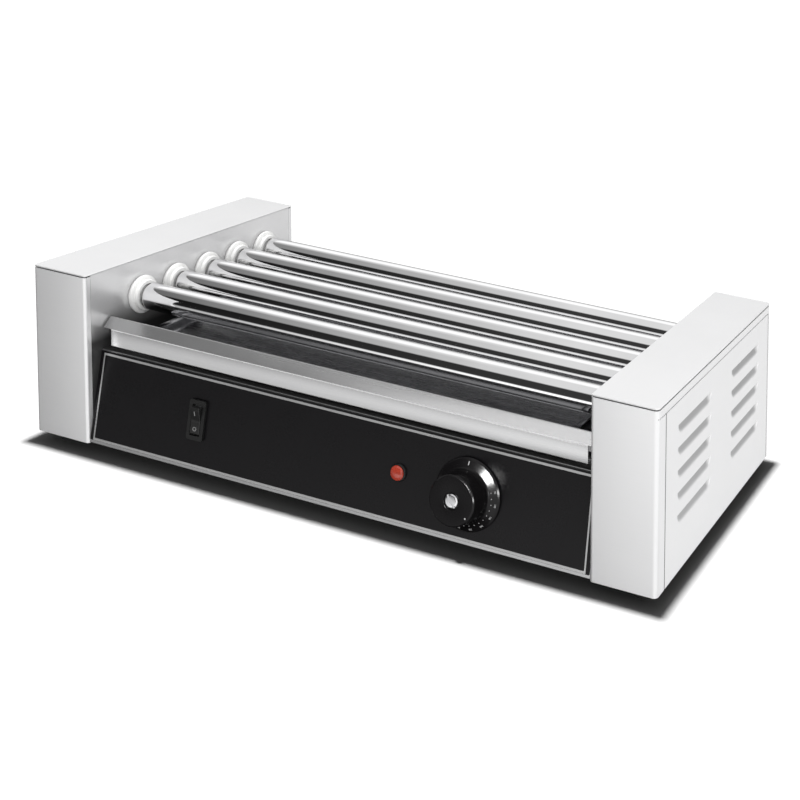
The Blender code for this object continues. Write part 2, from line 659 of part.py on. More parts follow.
for i in range(ROLLERS):
    tag = "_%d" % (i + 1)
    t = TUBE_WALL
    wall = [(ROLLER_R, TUBE_X), (ROLLER_R, -TUBE_X),
            (SPIGOT_R, -TUBE_X - 0.0035), (SPIGOT_R, LEFT_END_X),
            (SPIGOT_R - t, LEFT_END_X), (SPIGOT_R - t, -TUBE_X - 0.0030),
            (ROLLER_R - t, -TUBE_X + 0.0005), (ROLLER_R - t, TUBE_X - 0.0005),
            (SPIGOT_R - t, TUBE_X + 0.0030), (SPIGOT_R - t, RIGHT_END_X),
            (SPIGOT_R, RIGHT_END_X), (SPIGOT_R, TUBE_X + 0.0035)]
    turned("roller_tube" + tag, wall, "chrome", shaft_frame(i), 24)
    sprocket("roller_sprocket" + tag, roller_y(i), ROLLER_Z,
             phase_for(roller_y(i), ROLLER_Z), SPIGOT_R + 0.0004, 0.0132,
             0.2402, SPROCKET_X)
    for side, sign in (("left", -1.0), ("right", 1.0)):
        ring = [(BUSH_BORE_R, BUSH_BACK_X), (BUSH_SLEEVE_R, BUSH_BACK_X),
                (BUSH_SLEEVE_R, INNER - GAP), (BUSH_SHOULDER_R, INNER - GAP),
                (BUSH_FLANGE_R, INNER - BUSH_BEVEL),
                (BUSH_FLANGE_R, INNER - BUSH_FLANGE_T), (BUSH_RING_R, INNER - BUSH_STEP),
                (BUSH_RING_R, INNER - BUSH_OUT), (BUSH_BORE_R, INNER - BUSH_OUT)]
        turned(side + "_bushing" + tag, [(r, sign * z) for r, z in ring],
               "white_plastic", shaft_frame(i), 18)
    turned("heater_rod" + tag,
           [(0.0, HEATER_PIN_END), (HEATER_PIN_R, HEATER_PIN_END),
            (HEATER_PIN_R, HEATER_END), (HEATER_R, HEATER_END), (HEATER_R, -HEATER_END),
            (HEATER_PIN_R, -HEATER_END), (HEATER_PIN_R, -HEATER_PIN_END),
            (0.0, -HEATER_PIN_END)],
           "heater", shaft_frame(i), 12)

# heater clamps: folded strips from the side plates, one hole per rod
for side, sign in (("left", -1.0), ("right", 1.0)):
    x0 = INNER + SHEET + GAP
    path = [(x0, Z_LOW + 0.1360), (x0, Z_LOW + 0.1440),
            (HEATER_CLAMP_X, Z_LOW + 0.1440), (HEATER_CLAMP_X, Z_LOW + 0.1060)]
    y0 = roller_y(0) - 0.012
    y1 = roller_y(4) + 0.012
    clamp = outline(side + "_heater_bracket",
                    [strip([(sign * x, z) for x, z in path], -sign * SHEET)],
                    y1 - y0, "zinc", DRAW_XZ, -(y0 + y1) / 2.0)
    boolean(clamp, outline(side + "_heater_bracket_holes",
                           [circle(roller_y(i), ROLLER_Z, HEATER_R + 0.0004, 12)
                            for i in range(ROLLERS)],
                           OVER, None, DRAW_YZ, sign * HEATER_CLAMP_X))

# ----------------------------------------------------------------------- drive
MY = roller_y(2)
PLATE_X = INNER + SHEET + GAP
hat = [(PLATE_X, 0.1030), (PLATE_X, 0.0960), (MOTOR_PLATE_X, 0.0960),
       (MOTOR_PLATE_X, 0.0280), (PLATE_X, 0.0280), (PLATE_X, 0.0200)]
mount = outline("motor_bracket", [strip(hat, SHEET)], 0.070, "zinc", DRAW_XZ, -MY)
boolean(mount, outline("motor_bracket_hole", [circle(MY, MOTOR_Z, 0.0100, 20)], OVER,
                       None, DRAW_YZ, MOTOR_PLATE_X))
motor_axis = move(0.0, MY, MOTOR_Z) @ ALONG_X
turned("gear_motor",
       [(0.0, 0.2660), (0.0044, 0.2660), (0.0044, 0.2530), (0.0270, 0.2530),
        (0.0270, 0.2640), (0.0300, 0.2640), (0.0300, 0.2850), (0.0, 0.2850)],
       "dull_steel", motor_axis, 32)
turned("motor_shaft",
       [(0.0, 0.2650), (0.0040, 0.2650), (0.0040, 0.2420), (0.0, 0.2420)],
       "zinc", motor_axis, 16)
sprocket("motor_sprocket", MY, MOTOR_Z, phase_for(MY, MOTOR_Z), 0.0044, 0.0090,
         0.2425, SPROCKET_X)

# ---------------------------------------------------------------- wiring, feet
box("terminal_block", (CORD_X - 0.020, BACK - 0.050, Z_LOW + 0.0033),
    (CORD_X + 0.020, BACK - 0.030, Z_LOW + 0.0220), "white_plastic")

gland_frame = move(CORD_X, BACK, CORD_Z) @ Matrix.Rotation(math.radians(-90.0), 4, "X")
turned("cord_gland",
       [(0.0039, -0.0080), (0.0075, -0.0080), (0.0075, -0.0014), (0.0115, -0.0014),
        (0.0115, 0.0030), (0.0080, 0.0060), (0.0060, 0.0160), (0.0039, 0.0160)],
       "black_plastic", gland_frame, 20)


def smooth_path(keys, parts=4):
    """Points along a Catmull-Rom curve through the keys."""
    keys = [Vector(k) for k in keys]
    out = [keys[0]]
    for i in range(len(keys) - 1):
        p0 = keys[max(i - 1, 0)]
        p1, p2 = keys[i], keys[i + 1]
        p3 = keys[min(i + 2, len(keys) - 1)]
        for j in range(1, parts + 1):
            t = j / parts
            out.append(0.5 * (2.0 * p1 + (p2 - p0) * t
                              + (2.0 * p0 - 5.0 * p1 + 4.0 * p2 - p3) * t * t
                              + (3.0 * p1 - p0 - 3.0 * p2 + p3) * t * t * t))
    return out


# out of the gland, down to the worktop, two flat turns, into the plug
COIL_X = CORD_X + 0.128
COIL_Y = BACK + 0.070
REST_Z = CORD_R + 0.0004
down = smooth_path([(CORD_X, BACK + 0.018, CORD_Z), (CORD_X + 0.0005, BACK + 0.034, 0.0330),
                    (CORD_X + 0.0010, BACK + 0.042, 0.0130),
                    (CORD_X + 0.0014, BACK + 0.053, REST_Z)], 3)
points = [Vector((CORD_X, BACK - 0.020, CORD_Z))] + down
TURNS = 38
for k in range(1, TURNS + 1):
    f = k / TURNS
    a = math.radians(188.0 - 740.0 * f)
    half_l = 0.128 - 0.036 * f
    half_w = 0.048 - 0.020 * f
    points.append(Vector((COIL_X + half_l * math.cos(a), COIL_Y + half_w * math.sin(a),
                          REST_Z + 0.040 * max(0.0, f - 0.9))))
plug_at = Vector((COIL_X + 0.012, COIL_Y, 0.0184))
lead = smooth_path([points[-2], points[-1], plug_at + Vector((-0.0520, 0.0080, -0.0040)),
                    plug_at + Vector((-0.0240, 0.0, 0.0))], 3)
points += lead[4:]
points.append(plug_at + Vector((0.0040, 0.0, 0.0)))
wire = bpy.data.curves.new("power_cord", "CURVE")
wire.dimensions = "3D"
wire.bevel_depth = CORD_R
wire.bevel_resolution = 2
wire.use_fill_caps = True
line = wire.splines.new("POLY")
line.points.add(len(points) - 1)
for p, co in zip(line.points, points):
    p.co = (*co, 1.0)
place(bpy.data.objects.new("power_cord", wire), "rubber")

PIN_OUT = 0.0095            # from the plug's axis to each pin
PLUG_PIN_R = 0.0024
plug_frame = (move(plug_at.x + 0.004, plug_at.y, plug_at.z)
              @ Matrix.Rotation(math.radians(-90.0), 4, "Y"))
plug = turned("mains_plug",
              [(0.0, -0.0370), (0.0170, -0.0370), (0.0180, -0.0360), (0.0180, -0.0150),
               (0.0130, -0.0060), (0.0070, 0.0), (0.0055, 0.0120), (0.0039, 0.0120),
               (0.0039, -0.0040), (0.0, -0.0040)],
              "black_plastic", plug_frame, 24)
boolean(plug, outline("plug_pins", [circle(0.0, PIN_OUT, PLUG_PIN_R, 10),
                                    circle(0.0, -PIN_OUT, PLUG_PIN_R, 10)],
                      0.0220, None, plug_frame, -0.0460), "UNION")

for side, sx in (("left", -1.0), ("right", 1.0)):
    for end, y in (("front", FRONT + FOOT_IN), ("rear", BACK - FOOT_IN)):
        turned("foot_" + end + "_" + side,
               [(0.0, Z_LOW), (0.0100, Z_LOW), (0.0100, 0.0030), (0.0085, 0.0),
                (0.0, 0.0)], "rubber", move(sx * FOOT_X, y, 0.0), 20)

for part in PARTS.objects:
    if part.type == "MESH" and not any(m.type == "SCREW" for m in part.modifiers):
        smooth(part)
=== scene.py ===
"""Looks for a countertop hot dog roller grill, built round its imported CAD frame.

Metres, +Z up, +X to the operator's right along the rollers, operator at -Y.
"""
import json
import math

import bmesh
import bpy
from mathutils import Matrix, Vector

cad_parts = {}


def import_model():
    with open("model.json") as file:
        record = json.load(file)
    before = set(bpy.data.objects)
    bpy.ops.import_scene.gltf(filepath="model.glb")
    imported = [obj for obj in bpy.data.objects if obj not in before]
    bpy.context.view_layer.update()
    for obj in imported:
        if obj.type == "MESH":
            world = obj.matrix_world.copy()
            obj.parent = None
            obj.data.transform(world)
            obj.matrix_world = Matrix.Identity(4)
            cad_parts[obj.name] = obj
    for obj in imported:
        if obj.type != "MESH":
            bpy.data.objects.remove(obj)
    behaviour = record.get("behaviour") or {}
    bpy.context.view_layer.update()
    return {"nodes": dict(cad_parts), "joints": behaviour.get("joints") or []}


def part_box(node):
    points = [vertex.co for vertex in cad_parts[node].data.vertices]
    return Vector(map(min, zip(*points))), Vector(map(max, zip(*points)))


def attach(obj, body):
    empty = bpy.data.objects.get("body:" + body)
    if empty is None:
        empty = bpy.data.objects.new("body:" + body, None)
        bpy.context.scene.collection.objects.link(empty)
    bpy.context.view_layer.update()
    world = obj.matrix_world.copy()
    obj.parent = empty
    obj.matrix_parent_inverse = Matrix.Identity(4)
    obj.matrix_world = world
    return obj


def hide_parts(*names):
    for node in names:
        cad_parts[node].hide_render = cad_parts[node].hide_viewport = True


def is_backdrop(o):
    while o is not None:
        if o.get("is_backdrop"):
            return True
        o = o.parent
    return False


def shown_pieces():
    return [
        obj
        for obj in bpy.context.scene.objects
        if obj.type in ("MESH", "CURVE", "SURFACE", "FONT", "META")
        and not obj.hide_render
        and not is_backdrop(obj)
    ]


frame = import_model()

MM = 0.001
JOINTS = {j["name"]: j for j in frame["joints"]}
ROLLERS = range(1, 6)
SIDES = (("left", -1.0), ("right", 1.0))

# ------------------------------------------------------------ places from the CAD
COVER_LO, COVER_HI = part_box("right_end_cover")
INNER, HALF = COVER_LO.x, COVER_HI.x
FRONT, BACK = COVER_LO.y, COVER_HI.y
Z_LOW, Z_TOP = COVER_LO.z, COVER_HI.z
DIAL = JOINTS["thermostat_turn"]
ROCK = JOINTS["switch_rock"]
OUTWARD = -Vector(DIAL["axis"]).normalized()       # normal of the sloping panel
UPWARD = OUTWARD.cross(Vector((1.0, 0.0, 0.0)))
if UPWARD.z < 0.0:
    UPWARD = -UPWARD


def centre(node):
    lo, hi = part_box(node)
    return (lo + hi) / 2.0


LAMP_V = (centre("pilot_lamp_lens") - Vector(DIAL["pos_m"])).dot(UPWARD)


def on_panel(x, v=0.0, w=0.0):
    """Frame on the sloping panel: X along, Y up it from the dial's height, Z outwards."""
    origin = Vector((x, DIAL["pos_m"][1], DIAL["pos_m"][2]))
    turn = Matrix((Vector((1.0, 0.0, 0.0)), UPWARD, OUTWARD)).transposed().to_4x4()
    return Matrix.Translation(origin) @ turn @ Matrix.Translation((0.0, v, w))


# ------------------------------------------------------------------- materials
def new_tree(name):
    mat = bpy.data.materials.new(name)
    mat.use_nodes = True
    return mat, mat.node_tree, mat.node_tree.nodes["Principled BSDF"]


def feed(tree, made, inputs):
    """Give a node its inputs, which are values or other nodes' sockets."""
    for key, value in inputs.items():
        if isinstance(value, bpy.types.NodeSocket):
            tree.links.new(value, made.inputs[key])
        else:
            made.inputs[key].default_value = value


def add(tree, kind, inputs=None, **settings):
    made = tree.nodes.new(kind)
    for key, value in settings.items():
        setattr(made, key, value)
    feed(tree, made, inputs or {})
    return made


def math_node(tree, operation, a, b=0.0, c=0.0):
    return add(tree, "ShaderNodeMath", {0: a, 1: b, 2: c}, operation=operation).outputs[0]


def stretched(tree, stretch=(1.0, 1.0, 1.0)):
    """Object coordinates scaled per axis, so that noise on them turns into grain."""
    place = add(tree, "ShaderNodeTexCoord").outputs["Object"]
    return add(tree, "ShaderNodeMapping", {"Vector": place, "Scale": stretch}).outputs[0]


def noise(tree, scale, detail=3.0, roughness=0.5):
    return add(tree, "ShaderNodeTexNoise",
               {"Vector": stretched(tree), "Scale": scale, "Detail": detail,
                "Roughness": roughness}).outputs["Fac"]


def grain(tree, stretch, detail=2.0):
    return add(tree, "ShaderNodeTexNoise",
               {"Vector": stretched(tree, stretch), "Scale": 1.0,
                "Detail": detail}).outputs["Fac"]


def spread(tree, value, low, high):
    """Noise around a half, spread over low..high."""
    return ramp(tree, value, 0.3, 0.7, low, high)


def tint(tree, colour, factor):
    """A colour times a factor."""
    grey = add(tree, "ShaderNodeCombineColor", {0: factor, 1: factor, 2: factor})
    return add(tree, "ShaderNodeMix", {0: 1.0, 6: (*colour, 1.0), 7: grey.outputs[0]},
               data_type="RGBA", blend_type="MULTIPLY").outputs[2]


def ramp(tree, value, start, end, low=0.0, high=1.0, kind="LINEAR"):
    """Maps start..end on to low..high and stays level outside."""
    return add(tree, "ShaderNodeMapRange",
               {"Value": value, "From Min": start, "From Max": end, "To Min": low,
                "To Max": high}, interpolation_type=kind).outputs[0]


def edge_mask(tree):
    """One on sharp outer edges, nought on flats."""
    return ramp(tree, add(tree, "ShaderNodeNewGeometry").outputs["Pointiness"], 0.52, 0.60)


FINE, COARSE = 2600.0, 30.0      # grain across and along a brushed sheet, per metre


def grain_noise(tree):
    """Brushing that runs along Y on side and top faces and along X on front faces."""
    along_y = grain(tree, (FINE, COARSE, FINE))
    along_x = grain(tree, (COARSE, FINE, FINE))
    normal = add(tree, "ShaderNodeNewGeometry").outputs["Normal"]
    ny = add(tree, "ShaderNodeSeparateXYZ", {0: normal}).outputs[1]
    facing = math_node(tree, "GREATER_THAN", math_node(tree, "ABSOLUTE", ny), 0.6)
    return add(tree, "ShaderNodeMix", {0: facing, 2: along_y, 3: along_x}).outputs[0]


def bumped(tree, height, strength, distance=0.0001):
    return add(tree, "ShaderNodeBump", {"Strength": strength, "Distance": distance,
                                        "Height": height}).outputs[0]


def brushed(name, colour, rough, metallic=1.0, streaks=0.06, bump=0.05, smudge=0.05,
            along_x=False, painted_recess_shade=0.0, sheen=0.05, painted_shade_by_height=None, rubbed=0.08):
    """Brushed sheet: streaks in colour and roughness, a fine bump, faint handling marks.

    Where the mesh's "pressed" attribute is 1 the sheet is painted darker by the recess share, as
    shade in the pressed louvres. The height argument is two heights and the share of the colour
    that is left at each of them: painted shade that changes with height.
    """
    mat, tree, shader = new_tree(name)
    streak = grain(tree, (COARSE, FINE, FINE)) if along_x else grain_noise(tree)
    cloud = noise(tree, 18.0, 4.0, 0.6)
    base = tint(tree, colour, math_node(tree, "MULTIPLY",
                                        spread(tree, streak, 1.0 - streaks, 1.0 + streaks),
                                        spread(tree, cloud, 1.0 - smudge, 1.0 + smudge)))
    shade = None
    # painted shade: darker where the louvres are pressed in
    if painted_recess_shade:
        pressed = add(tree, "ShaderNodeAttribute", attribute_name="pressed").outputs["Fac"]
        shade = math_node(tree, "MULTIPLY_ADD", pressed, -painted_recess_shade, 1.0)
    # painted shade: the colour's share changes with height
    if painted_shade_by_height:
        point = add(tree, "ShaderNodeNewGeometry").outputs["Position"]
        height = add(tree, "ShaderNodeSeparateXYZ", {0: point}).outputs[2]
        shade = ramp(tree, height, *painted_shade_by_height)
    if shade is not None:
        base = add(tree, "ShaderNodeVectorMath", {0: base, "Scale": shade},
                   operation="SCALE").outputs[0]
    level = math_node(tree, "ADD", spread(tree, streak, rough - sheen, rough + sheen),
                      spread(tree, cloud, -smudge, smudge))
    if rubbed:
        level = math_node(tree, "MULTIPLY_ADD", edge_mask(tree), -rubbed, level)
    feed(tree, shader, {"Base Color": base, "Roughness": level, "Metallic": metallic,
                        "Normal": bumped(tree, streak, bump, 0.0002)})
    return mat


def polished(name, colour, rough):
    """Chrome: fine rings left by polishing, and a slow change of gloss."""
    mat, tree, shader = new_tree(name)
    rings = grain(tree, (1400.0, 30.0, 30.0), 3.0)
    cloud = noise(tree, 30.0)
    level = math_node(tree, "ADD", spread(tree, rings, rough - 0.02, rough + 0.03),
                      spread(tree, cloud, -0.015, 0.015))
    feed(tree, shader, {"Base Color": tint(tree, colour, spread(tree, cloud, 0.97, 1.03)),
                        "Roughness": level, "Metallic": 1.0,
                        "Normal": bumped(tree, rings, 0.02)})
    return mat


def moulded(name, colour, rough, bump=0.10, scale=1800.0, coat=0.0, wear=0.25,
            specular=0.5):
    """Moulded plastic or rubber: spark-eroded texture and edges rubbed a little lighter."""
    mat, tree, shader = new_tree(name)
    skin, cloud = noise(tree, scale), noise(tree, 40.0)
    rubbed = math_node(tree, "MULTIPLY_ADD", edge_mask(tree), wear,
                       spread(tree, cloud, 0.92, 1.08))
    level = math_node(tree, "ADD", spread(tree, skin, rough - 0.04, rough + 0.04),
                      spread(tree, cloud, -0.03, 0.03))
    feed(tree, shader, {"Base Color": tint(tree, colour, rubbed), "Roughness": level,
                        "Coat Weight": coat, "Specular IOR Level": specular,
                        "Normal": bumped(tree, skin, bump)})
    return mat


def lens_glass(name):
    """Red lamp lens with moulded facets behind the dome."""
    mat, tree, shader = new_tree(name)
    facet = add(tree, "ShaderNodeTexVoronoi", {"Vector": stretched(tree),
                                               "Scale": 900.0}).outputs["Distance"]
    feed(tree, shader, {
        "Base Color": tint(tree, (0.34, 0.040, 0.022), spread(tree, facet, 1.1, 0.8)),
        "Roughness": 0.22, "Coat Weight": 0.5, "Emission Color": (0.9, 0.06, 0.03, 1.0),
        "Emission Strength": 0.05, "Normal": bumped(tree, facet, 0.15, 0.0003)})
    return mat


STEEL = (0.80, 0.80, 0.805)
MATERIALS = {
    # cover: darker in the louvre recesses, as painted shade
    "cover": brushed("cover_steel", (0.86, 0.86, 0.865), 0.34, 0.62, 0.006, 0.004, 0.012,
                     painted_recess_shade=0.26, sheen=0.012, rubbed=0.0),
    # inner walls: colour falls to a tenth from 122 mm down to 96 mm, around the tray, as painted
    # shade
    "wall": brushed("inner_wall_steel", STEEL, 0.38, 0.62, 0.012, 0.006, 0.05, sheen=0.02,
                    painted_shade_by_height=(0.096, 0.122, 0.10, 1.0)),
    # tray rail: colour falls to 46 % towards its top, as painted shade
    "rail": brushed("tray_rail_steel", (0.90, 0.90, 0.905), 0.28, 0.90, 0.02, 0.012, 0.02, True,
                    sheen=0.02, painted_shade_by_height=(0.0945, 0.1065, 1.0, 0.46)),
    # lighter, less metallic copy of the rail's steel without its painted shade: painted highlight
    # along the rail's fold
    "fold_highlight": brushed("rail_fold_steel", STEEL, 0.40, 0.35, 0.02, 0.012, 0.02, True, sheen=0.02),
    "tray": brushed("tray_steel", (0.30, 0.30, 0.31), 0.26, 1.0, 0.03, 0.02, 0.05, True),
    "panel": brushed("panel_steel", (0.40, 0.40, 0.405), 0.28, 0.9, 0.03, 0.02, 0.03, True),
    "dull": brushed("dull_steel", (0.55, 0.55, 0.56), 0.45, 1.0, 0.08, 0.08, 0.06),
    "motor": brushed("motor_can", (0.50, 0.50, 0.51), 0.42, 1.0, 0.06, 0.06, 0.06),
    "zinc": brushed("zinc_plate", (0.60, 0.61, 0.63), 0.38, 1.0, 0.04, 0.04, 0.12),
    "chain": brushed("oiled_chain", (0.32, 0.31, 0.30), 0.40, 1.0, 0.10, 0.10, 0.10),
    "heater": brushed("heater_sheath", (0.30, 0.31, 0.30), 0.50, 1.0, 0.10, 0.08, 0.12),
    # near-black: painted shadow in the gap under the covers' top plates and on the panel's top
    # under the tray rail
    "groove": brushed("seam_shadow", (0.06, 0.06, 0.06), 0.60, 0.6, 0.10, 0.10, 0.10),
    # grey: painted shade in the seam grooves of the covers' outer sides
    "joint": brushed("joint_shadow", (0.30, 0.30, 0.30), 0.60, 0.6, 0.06, 0.06, 0.06),
    "chrome": polished("roller_chrome", (0.88, 0.88, 0.885), 0.055),
    "screw": polished("screw_chrome", (0.82, 0.82, 0.83), 0.16),
    "silver": brushed("silver_key_line", (0.62, 0.62, 0.62), 0.35, 0.8, 0.05, 0.04, 0.04,
                      True),
    "fascia": moulded("black_fascia", (0.0050, 0.0045, 0.0053), 0.30, 0.05, 2600.0, 0.0,
                      0.0, 0.27),
    "black": moulded("black_moulding", (0.008, 0.008, 0.008), 0.34, 0.10, 2200.0),
    "knob": moulded("knob_moulding", (0.0012, 0.0011, 0.0012), 0.19, 0.04, 2400.0, 0.0, 0.1,
                    0.22),
    "grip": moulded("grip_moulding", (0.0012, 0.0011, 0.0012), 0.26, 0.04, 2400.0, 0.0, 0.1,
                    0.11),
    "white": moulded("white_bushing", (0.88, 0.88, 0.87), 0.32, 0.05, 900.0, 0.2, 0.02),
    "cream": moulded("cream_moulding", (0.70, 0.66, 0.55), 0.5, 0.10, 1500.0, 0.0, 0.05),
    "rubber": moulded("black_rubber", (0.016, 0.016, 0.016), 0.62, 0.35, 1500.0, 0.0, 0.4),
    "mark": moulded("white_print", (0.50, 0.50, 0.50), 0.45, 0.05, 1500.0, 0.0, 0.0),
    "faint": moulded("grey_print", (0.20, 0.20, 0.20), 0.45, 0.05, 1500.0, 0.0, 0.0),
    "lens": lens_glass("red_lens"),
}


# -------------------------------------------------------------- mesh building
DRAW_YZ = Matrix(((0, 0, 1, 0), (1, 0, 0, 0), (0, 1, 0, 0), (0, 0, 0, 1)))
ALONG_X = Matrix(((0, 0, 1, 0), (0, 1, 0, 0), (-1, 0, 0, 0), (0, 0, 0, 1)))
IDENTITY = Matrix.Identity(4)


def in_scene(name, data):
    ob = bpy.data.objects.new(name, data)
    bpy.context.scene.collection.objects.link(ob)
    return ob


def smooth(mesh, sharp=35.0):
    for poly in mesh.polygons:
        poly.use_smooth = True
    mesh.set_sharp_from_angle(angle=math.radians(sharp))


def piece(name, mesh, look, body, stands_for=(), sharp=35.0):
    """Make an object of a mesh, with its look, body and the nodes it stands for."""
    ob = in_scene(name, mesh)
    smooth(mesh, sharp)
    looks = look if isinstance(look, tuple) else (look,)
    for each in looks:
        mesh.materials.append(MATERIALS[each])
    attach(ob, body)
    if stands_for:
        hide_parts(*stands_for)
    return ob


def weld(mesh, tidy_normals):
    """Join points that coincide, then turn the faces with tidy_normals(bm, faces=...)."""
    bm = bmesh.new()
    bm.from_mesh(mesh)
    bmesh.ops.remove_doubles(bm, verts=bm.verts, dist=1e-7)
    if tidy_normals:
        tidy_normals(bm, faces=bm.faces)
    bm.to_mesh(mesh)
    bm.free()
    return mesh


def mesh_from(name, verts, faces, frame_of=IDENTITY):
    mesh = bpy.data.meshes.new(name)
    mesh.from_pydata([tuple(v) for v in verts], [], faces)
    mesh.transform(frame_of)
    return weld(mesh, bmesh.ops.recalc_face_normals)


def thicken(ob, thickness):
    """Give a skin its sheet thickness, to the inside."""
    sheet = ob.modifiers.new("sheet", "SOLIDIFY")
    sheet.thickness = thickness
    sheet.offset = -1.0
    return sheet


def bevel(ob, width, segments=2, angle=50.0):
    mod = ob.modifiers.new("edges", "BEVEL")
    mod.width = width
    mod.segments = segments
    mod.limit_method = "ANGLE"
    mod.angle_limit = math.radians(angle)
    mod.harden_normals = True
    return ob


def fillet(path, radii, steps=5, closed=False):
    """Round the corners of a flat path; radii is one number, or one per corner."""
    count = len(path)
    if not isinstance(radii, (list, tuple)):
        radii = [radii] * count
    out = []
    for i, here in enumerate(path):
        p = Vector(here)
        if radii[i] <= 0.0 or (not closed and i in (0, count - 1)):
            out.append(p)
            continue
        a = (Vector(path[i - 1]) - p)
        b = (Vector(path[(i + 1) % count]) - p)
        half = a.angle(b) / 2.0
        reach = min(radii[i] / math.tan(half), a.length * 0.49, b.length * 0.49)
        r = reach * math.tan(half)
        middle = p + (a.normalized() + b.normalized()).normalized() * (r / math.sin(half))
        start = p + a.normalized() * reach - middle
        end = p + b.normalized() * reach - middle
        sweep = start.angle_signed(end)
        for k in range(steps + 1):
            turn = Matrix.Rotation(-sweep * k / steps, 2)
            out.append(middle + turn @ start)
    return out


def rounded(path, radii, steps=5, closed=False):
    """fillet() on a path and radii in millimetres."""
    return fillet([(a * MM, b * MM) for a, b in path], [r * MM for r in radii], steps, closed)


def lathe(name, profile, frame_of, closed=True, segments=72):
    """Turn (radius, height) points about local Z."""
    verts, rings, faces = [], [], []
    for r, z in profile:
        if r < 1e-7:
            rings.append([len(verts)] * segments)
            verts.append((0.0, 0.0, z))
            continue
        rings.append(list(range(len(verts), len(verts) + segments)))
        for k in range(segments):
            a = 2.0 * math.pi * k / segments
            verts.append((r * math.cos(a), r * math.sin(a), z))
    pairs = list(zip(rings, rings[1:])) + ([(rings[-1], rings[0])] if closed else [])
    for lower, upper in pairs:
        for k in range(segments):
            n = (k + 1) % segments
            face = []
            for v in (lower[k], lower[n], upper[n], upper[k]):
                if v not in face:
                    face.append(v)
            if len(face) > 2:
                faces.append(face)
    return mesh_from(name, verts, faces, frame_of)


def extrude(name, outline, low, high, frame_of):
    """A closed outline in local XY made solid between two heights."""
    n = len(outline)
    verts = [(p[0], p[1], low) for p in outline] + [(p[0], p[1], high) for p in outline]
    faces = [list(range(n))[::-1], list(range(n, 2 * n))]
    faces += [[i, (i + 1) % n, n + (i + 1) % n, n + i] for i in range(n)]
    return mesh_from(name, verts, faces, frame_of)


def strip(path, t):
    """Closed outline of sheet of thickness t laid on the left of a path."""
    side = []
    for i, p in enumerate(path):
        normals = []
        for j in (i - 1, i):
            if 0 <= j < len(path) - 1:
                d = (path[j + 1] - path[j]).normalized()
                normals.append(Vector((-d.y, d.x)))
        total = sum(normals, Vector((0.0, 0.0)))
        side.append(p + total * (t * len(normals) / total.length_squared))
    return list(path) + side[::-1]


def rect(x0, y0, x1, y1, r, steps=5):
    return fillet([(x0, y0), (x1, y0), (x1, y1), (x0, y1)], r, steps, True)


def circle(x, y, r, n=40):
    return [Vector((x + r * math.cos(2.0 * math.pi * i / n),
                    y + r * math.sin(2.0 * math.pi * i / n))) for i in range(n)]


def meshed(curve):
    """Turn a curve into a mesh and drop the curve."""
    drawn = bpy.data.objects.new(curve.name, curve)
    mesh = bpy.data.meshes.new_from_object(drawn)
    bpy.data.objects.remove(drawn, do_unlink=True)
    bpy.data.curves.remove(curve)
    return mesh


def plate(name, loops, low, high, frame_of):
    """A flat plate with holes: the first loop is its outline."""
    curve = bpy.data.curves.new(name, "CURVE")
    curve.dimensions = "2D"
    curve.fill_mode = "BOTH"
    curve.extrude = (high - low) / 2.0
    for loop in loops:
        spline = curve.splines.new("POLY")
        spline.points.add(len(loop) - 1)
        for point, p in zip(spline.points, loop):
            point.co = (p[0], p[1], 0.0, 1.0)
        spline.use_cyclic_u = True
    mesh = meshed(curve)
    mesh.transform(frame_of @ Matrix.Translation((0.0, 0.0, (low + high) / 2.0)))
    return weld(mesh, bmesh.ops.recalc_face_normals)


def grid_mesh(name, rows, skip=()):
    """Faces between rows of points; skip holds (row, column) cells left open."""
    verts, index, faces = [], [], []
    for row in rows:
        index.append(list(range(len(verts), len(verts) + len(row))))
        verts += row
    for r in range(len(rows) - 1):
        for c in range(len(rows[r]) - 1):
            if (r, c) not in skip:
                faces.append([index[r][c], index[r][c + 1], index[r + 1][c + 1],
                              index[r + 1][c]])
    mesh = bpy.data.meshes.new(name)
    mesh.from_pydata([tuple(v) for v in verts], [], faces)
    return mesh


def merge(objects, name):
    """Join the meshes of some objects into the first, and keep its riding."""
    bm = bmesh.new()
    for ob in objects:
        bm.from_mesh(ob.data)
    mesh = objects[0].data
    bm.to_mesh(mesh)
    bm.free()
    objects[0].name = name
    for ob in objects[1:]:
        bpy.data.objects.remove(ob, do_unlink=True)
    return objects[0]


# ------------------------------------------------------------------ end covers
SKIN = 1.0 * MM               # sheet of the end covers
HEM = 6.0 * MM                # return along the inner wall
HEM_R, BEND_R = 2.5 * MM, 4.0 * MM
CAP_T = 1.2 * MM              # top plate
CAP_GAP = 0.8 * MM            # painted shadow strip under the top plate, for the shade in its gap
LOUVRE_COLUMNS = (FRONT + 81.0 * MM, FRONT + 211.0 * MM)
LOUVRE_ROWS = [Z_LOW + (42.5 + 18.3 * k) * MM for k in range(5)]
LOUVRE_HALF = 38.5 * MM
LOUVRE_H = 9.0 * MM
LOUVRE_DEEP = 3.2 * MM
LIP_H = 8.2 * MM              # depth of the top's lip down the outer side
SEAM = 0.8 * MM
SEAM_DEEP = 0.6 * MM
UPRIGHT_SEAMS = ((FRONT + 15.5 * MM, 1.2 * MM), (BACK - 7.0 * MM, SEAM))


def louvre_depth(y, z, top):
    """How far the side is pressed in at (y, z), below the cut edge at height top."""
    for mid in LOUVRE_COLUMNS:
        off = abs(y - mid)
        if off < LOUVRE_HALF:
            end = max(0.0, (off - LOUVRE_HALF + LOUVRE_H) / LOUVRE_H)
            reach = math.sqrt(1.0 - end * end)
            down = (top - z) / (LOUVRE_H * max(reach, 1e-6))
            if down < 1.0:
                return LOUVRE_DEEP * reach ** 0.6 * math.cos(down * math.pi / 2.0) ** 1.5
    return 0.0


